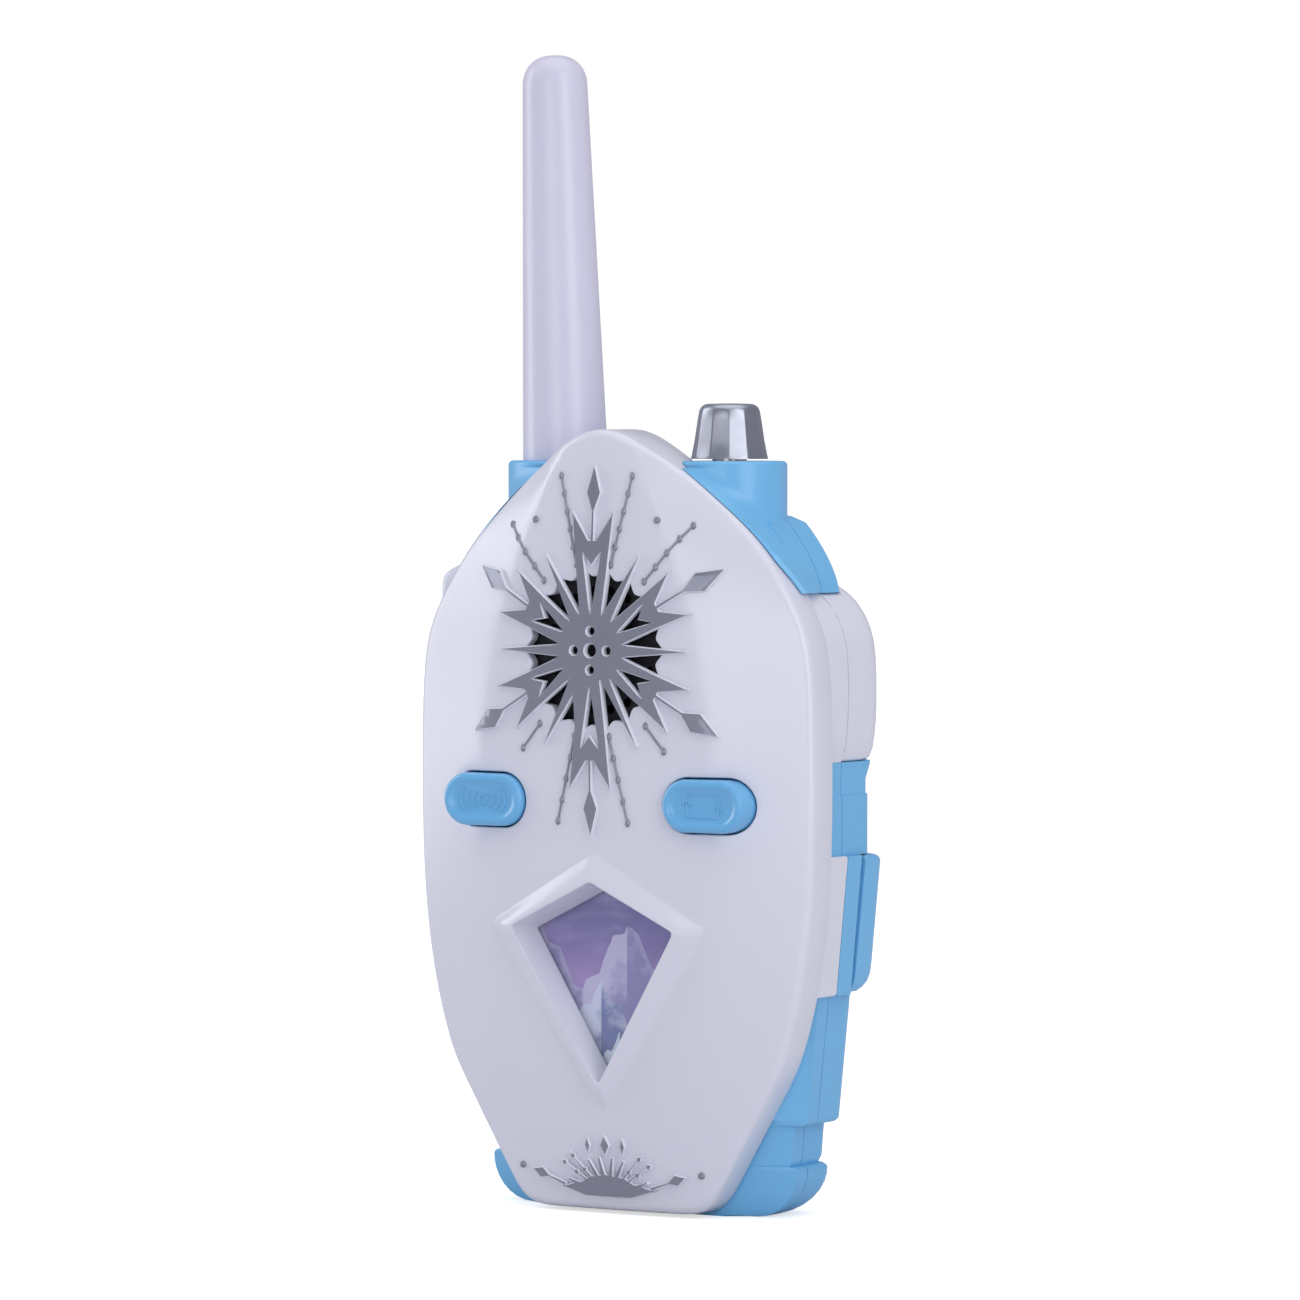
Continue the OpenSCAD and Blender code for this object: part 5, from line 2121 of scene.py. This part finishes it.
SCREW_SETS = (
    ScrewSet("shell_screws", 9.4, 2.1, 1.38, 1.0, 8.1, both_sides(UPPER_SHELL_SCREW, LOWER_SHELL_SCREW)),
    ScrewSet(
        "plate_screws",
        0.9,
        2.2,
        1.18,
        0.9,
        5.0,
        [(0.0, 115.8), *both_sides((30, 99), (31.5, 61), (29, 36), (19.5, 17.5))],
    ),
    ScrewSet("board_screws", -1.4, 1.9, 1.38, 0.8, 4.0, both_sides((23, 32), (23, 84))),
    ScrewSet("speaker_screws", -10.1, 2.9, 1.08, 0.7, 1.7, circle(0.0, SPEAKER_Z, 20.6, 12)[1::4]),
    ScrewSet("door_screw", 16.9, 2.3, 1.38, 0.9, 7.0, [DOOR_SCREW], "battery_cover"),
)


@dataclass
class Screws:
    """Pan-head screws with a cross recess, one set for each CAD node of screws."""

    slot: float = 0.24
    pitch: float = 0.7

    def one(self, size: ScrewSet) -> Object:
        """Screw at the origin, its head's back face at y 0 and its shank towards the front."""
        head_r, shank_r, under, tip = size.head_r, size.shank_r, -size.head_t, -size.head_t - size.shank_l
        profile = [(0.02, 0.0), (head_r * 0.6, 0.0), (head_r * 0.85, -0.12), (head_r, -0.45)]
        profile += [(head_r, under), (shank_r, under)]
        z = under
        while z > tip + 0.8:
            root = shank_r * 0.78
            profile += [(shank_r, z - 0.1), (root, z - 0.3), (root, z - 0.4), (shank_r, z - 0.6)]
            z -= self.pitch
        profile += [(shank_r * 0.7, tip + 0.1), (0.02, tip)]
        screw = skinned("screw_pattern", [[(x, d, y) for x, y, d in row] for row in lathe(profile, 28)])
        arm = head_r * 0.6
        for half_x, half_z in ((arm, self.slot), (self.slot, arm)):
            cut(screw, box_parts(-half_x, half_x, -0.55, 1.0, -half_z, half_z))
        return screw

    def make(self) -> None:
        """Places every screw on its CAD spot."""
        for each in SCREW_SETS:
            pattern = self.one(each)
            cloud = point_cloud(f"{each.node}_set", [(x, each.back, z) for x, z in each.spots])
            placed = run_tree(
                cloud, TREES["scatter"], Piece=pattern, Size=1.0, Finish=material_of(Finish.ZINC_STEEL)
            )
            bpy.data.objects.remove(pattern)
            seat(placed, each.body, "screw_steel", each.node)


@dataclass
class Face:
    """The face plate and everything that decorates it."""

    strand_lift: float = 0.12
    grille_r: float = 16.4
    hole_pitch: float = 3.4
    # turn from straight up, near end and far end of each strand on one side
    fans: tuple[Point, ...] = (
        (13.5, 15.0, 31.0), (40.5, 15.5, 28.5), (166.5, 15.0, 30.5), (140.0, 16.5, 22.5)
    )

    def strands(self) -> Object:
        """Pearled strands that fan out above and below the snow crystal."""
        lines: list[list[Point]] = []
        for degrees, near, far in [(side * turn, *ends) for side in (-1, 1) for turn, *ends in self.fans]:
            a = radians(degrees)
            line = []
            for r in np.arange(near, far, 0.5):
                x, z = sin(a) * r, SPEAKER_Z + cos(a) * r
                line.append((x, FACE.depth(x, z) - self.strand_lift, z))
            lines.append(line)
        return run_tree(
            polyline("pearled_strands", lines),
            TREES["strand"],
            Thickness=0.2 * MM,
            Pearl=0.46 * MM,
            Step=3.1 * MM,
            Finish=material_of(Finish.SILVER_PAINT),
        )

    def dots(self) -> Object:
        """Loose dots beside the crystals."""
        spots = [(-12.2, 118.8), (12.2, 118.8), (-18.0, 7.6), (18.0, 7.6)]
        profile = [(0.6, -0.3), (0.6, 0.25), (0.45, 0.38), (0.05, 0.42)]
        dot = skinned("dot_pattern", [[(x, -d, y) for x, y, d in row] for row in lathe(profile, 20)])
        cloud = point_cloud("silver_dots", [(x, FACE.depth(x, z), z) for x, z in spots])
        placed = run_tree(
            cloud, TREES["scatter"], Piece=dot, Size=1.0, Finish=material_of(Finish.SILVER_PAINT)
        )
        bpy.data.objects.remove(dot)
        return placed

    def grille(self) -> Object:
        """Black disc with rings of round holes."""
        plate = prism_y(circle(0.0, SPEAKER_Z, self.grille_r, 96), -12.9, -12.35)
        disc = shaped("speaker_grille_disc", plate)
        spots = [(0.0, -12.6, SPEAKER_Z)]
        for k in (1, 2, 3):
            spots += [(x, -12.6, z) for x, z in circle(0.0, SPEAKER_Z, self.hole_pitch * k, 6 * k)]
        rod = rod_parts(0.0, 0.0, 0.8, -1.0, 1.0, 16)
        pin = shaped("hole_pattern", rod)
        cloud = point_cloud("hole_pins", spots)
        pins = run_tree(cloud, TREES["scatter"], Piece=pin, Size=1.0, Finish=material_of(Finish.BLACK_ABS))
        bpy.data.objects.remove(pin)
        boolean(disc, pins, "DIFFERENCE")
        return freeze(disc, 30)

    def make(self) -> None:
        """Builds, dresses and seats the face's pieces."""
        plate = dress(FacePlate().build(), Finish.FACE_ABS)
        seat(plate, "casing", "white_plastic", "front_plate")
        crystal = merged("snow_crystal_relief", [SnowCrystal().build(), self.strands(), self.dots()])
        seat(crystal, "casing", "silver_paint", "snow_crystal")
        seat(LowerCrystal().build(), "casing", "silver_paint", "lower_crystal")
        seat(dress(self.grille(), Finish.BLACK_ABS), "casing", "black_plastic", "speaker_grille")


CAD_FINISHES: dict[Finish, tuple[str, ...]] = {
    Finish.CLEAR: ("window_lens",),
    Finish.WHITE_ABS: ("light_box",),
    Finish.BLACK_ABS: (
        "volume_control",
        *(f"{key}_{part}" for key in ("left", "right", "talk") for part in ("plunger", "switch")),
    ),
    Finish.NICKEL: ("antenna_wire", "volume_shaft", "crystal_can", "battery_springs", "battery_plates"),
    Finish.BRASS: ("antenna_foot", "tuning_coils"),
    Finish.ZINC_STEEL: ("speaker_frame", "speaker_magnet"),
    Finish.CONE: ("speaker_cone",),
    Finish.BOARD: ("circuit_board",),
    Finish.RESIN: ("radio_chip",),
    Finish.SLEEVE_BLUE: ("capacitors",),
    Finish.LAMP: ("lamp",),
    Finish.CELL_JACKET: ("battery_cells",),
}


def dress_cad() -> None:
    """Gives the CAD nodes that stay their finishes."""
    wanted = {node: material_of(finish) for finish, nodes in CAD_FINISHES.items() for node in nodes}
    wanted["picture_card"] = PrintedLandscape("gloss_landscape_print", 22.0, 58.0).build()
    for node, material in wanted.items():
        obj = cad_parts[node]
        if not obj.material_slots:
            obj.data.materials.append(material)
        for slot in obj.material_slots:
            slot.material = material


# ---- stage ----


@dataclass
class Studio:
    """Pale floor, soft light and the camera."""

    azimuth: float = 32.0
    distance: float = 1.2
    height: float = 0.1344
    pitch: float = 1.82
    slide: float = 0.00137
    lens: float = 193.6
    # what the object sees around it, and the white that only the camera sees
    air: tuple[float, float, float, float] = (0.37, 0.375, 0.42, 1.0)
    backdrop: tuple[float, float, float, float] = (1.02, 1.02, 1.02, 1.0)
    floor_glow: float = 0.62

    def camera(self) -> None:
        """Sets the camera up."""
        data = bpy.data.cameras.new("studio_camera")
        data.sensor_width = 36.0
        data.lens = self.lens
        data.clip_start, data.clip_end = 0.05, 100.0
        made = bpy.data.objects.new("studio_camera", data)
        a = radians(self.azimuth)
        made.location = (
            sin(a) * self.distance + cos(a) * self.slide,
            -cos(a) * self.distance + sin(a) * self.slide,
            self.height,
        )
        made.rotation_euler = (radians(90 - self.pitch), 0.0, a)
        bpy.context.scene.collection.objects.link(made)
        bpy.context.scene.camera = made

    def softbox(
        self, name: str, azimuth: float, elevation: float, reach: float, size: Flat, watts: float
    ) -> None:
        """Adds one soft light that faces the object.

        Args:
            name: the light's name.
            azimuth: degrees to the right of the face.
            elevation: degrees above level.
            reach: distance in metres.
            size: width and height in metres.
            watts: power.
        """
        data = bpy.data.lights.new(name, "AREA")
        data.shape = "RECTANGLE"
        data.size, data.size_y = size
        data.energy = watts
        made = bpy.data.objects.new(name, data)
        a, e = radians(azimuth), radians(elevation)
        back = Vector((sin(a) * cos(e), -cos(a) * cos(e), sin(e)))
        made.location = Vector((0.0, 0.0, 0.1)) + back * reach
        made.rotation_mode = "QUATERNION"
        made.rotation_quaternion = back.to_track_quat("Z", "Y")
        bpy.context.scene.collection.objects.link(made)

    def floor(self) -> None:
        """Lays the pale floor."""
        parts = MeshParts()
        rings = [[(x, y, -0.02) for x, y in circle(0.0, 0.0, r, 64)] for r in (30000.0, 3000.0, 300.0)]
        parts.loft(rings, cap_last=True)
        floor = shaped("floor", parts, outward=False)
        for polygon in floor.data.polygons:
            if polygon.normal.z < 0:
                polygon.flip()
        material, tree = new_material("matt_white_backdrop")
        place = add_node(tree, "ShaderNodeTexCoord").outputs["Object"]
        mottle = add_node(tree, "ShaderNodeTexNoise", {"Vector": place, "Scale": 3.0})
        tint = add_node(
            tree,
            "ShaderNodeMix",
            {0: mottle.outputs["Fac"], 6: srgb("#d8d8dc"), 7: srgb("#dcdcdf")},
            data_type="RGBA",
        )
        path = add_node(tree, "ShaderNodeLightPath")
        glow = add_node(
            tree,
            "ShaderNodeMath",
            {0: path.outputs["Is Camera Ray"], 1: self.floor_glow},
            operation="MULTIPLY",
        )
        shader = add_node(
            tree,
            "ShaderNodeBsdfPrincipled",
            {
                "Base Color": tint.outputs[2],
                "Roughness": 0.9,
                "Specular IOR Level": 0.1,
                "Emission Color": (1.0, 1.0, 1.0, 1.0),
                "Emission Strength": glow.outputs[0],
            },
        )
        close_material(tree, shader)
        floor.data.materials.append(material)

    def make(self) -> None:
        """Builds the whole stage."""
        self.camera()
        self.floor()
        self.softbox("right_softbox", 68, 14, 0.9, (0.4, 1.1), 3.9)
        self.softbox("left_softbox", -76, 10, 0.9, (0.35, 1.1), 3.6)
        self.softbox("front_softbox", 10, 6, 1.6, (0.8, 0.65), 3.6)
        data = bpy.data.lights.new("ceiling", "SUN")
        data.energy, data.angle = 1.2, radians(70)
        bpy.context.scene.collection.objects.link(bpy.data.objects.new("ceiling", data))
        world = bpy.data.worlds.new("studio_air")
        world.use_nodes = True
        tree = world.node_tree
        tree.nodes.clear()
        path = add_node(tree, "ShaderNodeLightPath")
        seen = path.outputs["Is Camera Ray"]
        tone = add_node(tree, "ShaderNodeMix", {0: seen, 6: self.air, 7: self.backdrop}, data_type="RGBA")
        glow = add_node(tree, "ShaderNodeBackground", {"Color": tone.outputs[2], "Strength": 1.0})
        add_node(tree, "ShaderNodeOutputWorld", {"Surface": glow.outputs[0]})
        bpy.context.scene.world = world
        bpy.context.scene.view_settings.view_transform = "Standard"


def main() -> None:
    """Builds the stage and every sub-assembly in order."""
    logging.basicConfig(level=logging.INFO, format="%(name)s: %(message)s")
    TREES["scatter"] = scatter_tree()
    TREES["strand"] = strand_tree()
    Studio().make()
    Face().make()
    Casing().make()
    TopEnd().make()
    Keys().make()
    Screws().make()
    dress_cad()


if __name__ == "__main__":
    main()
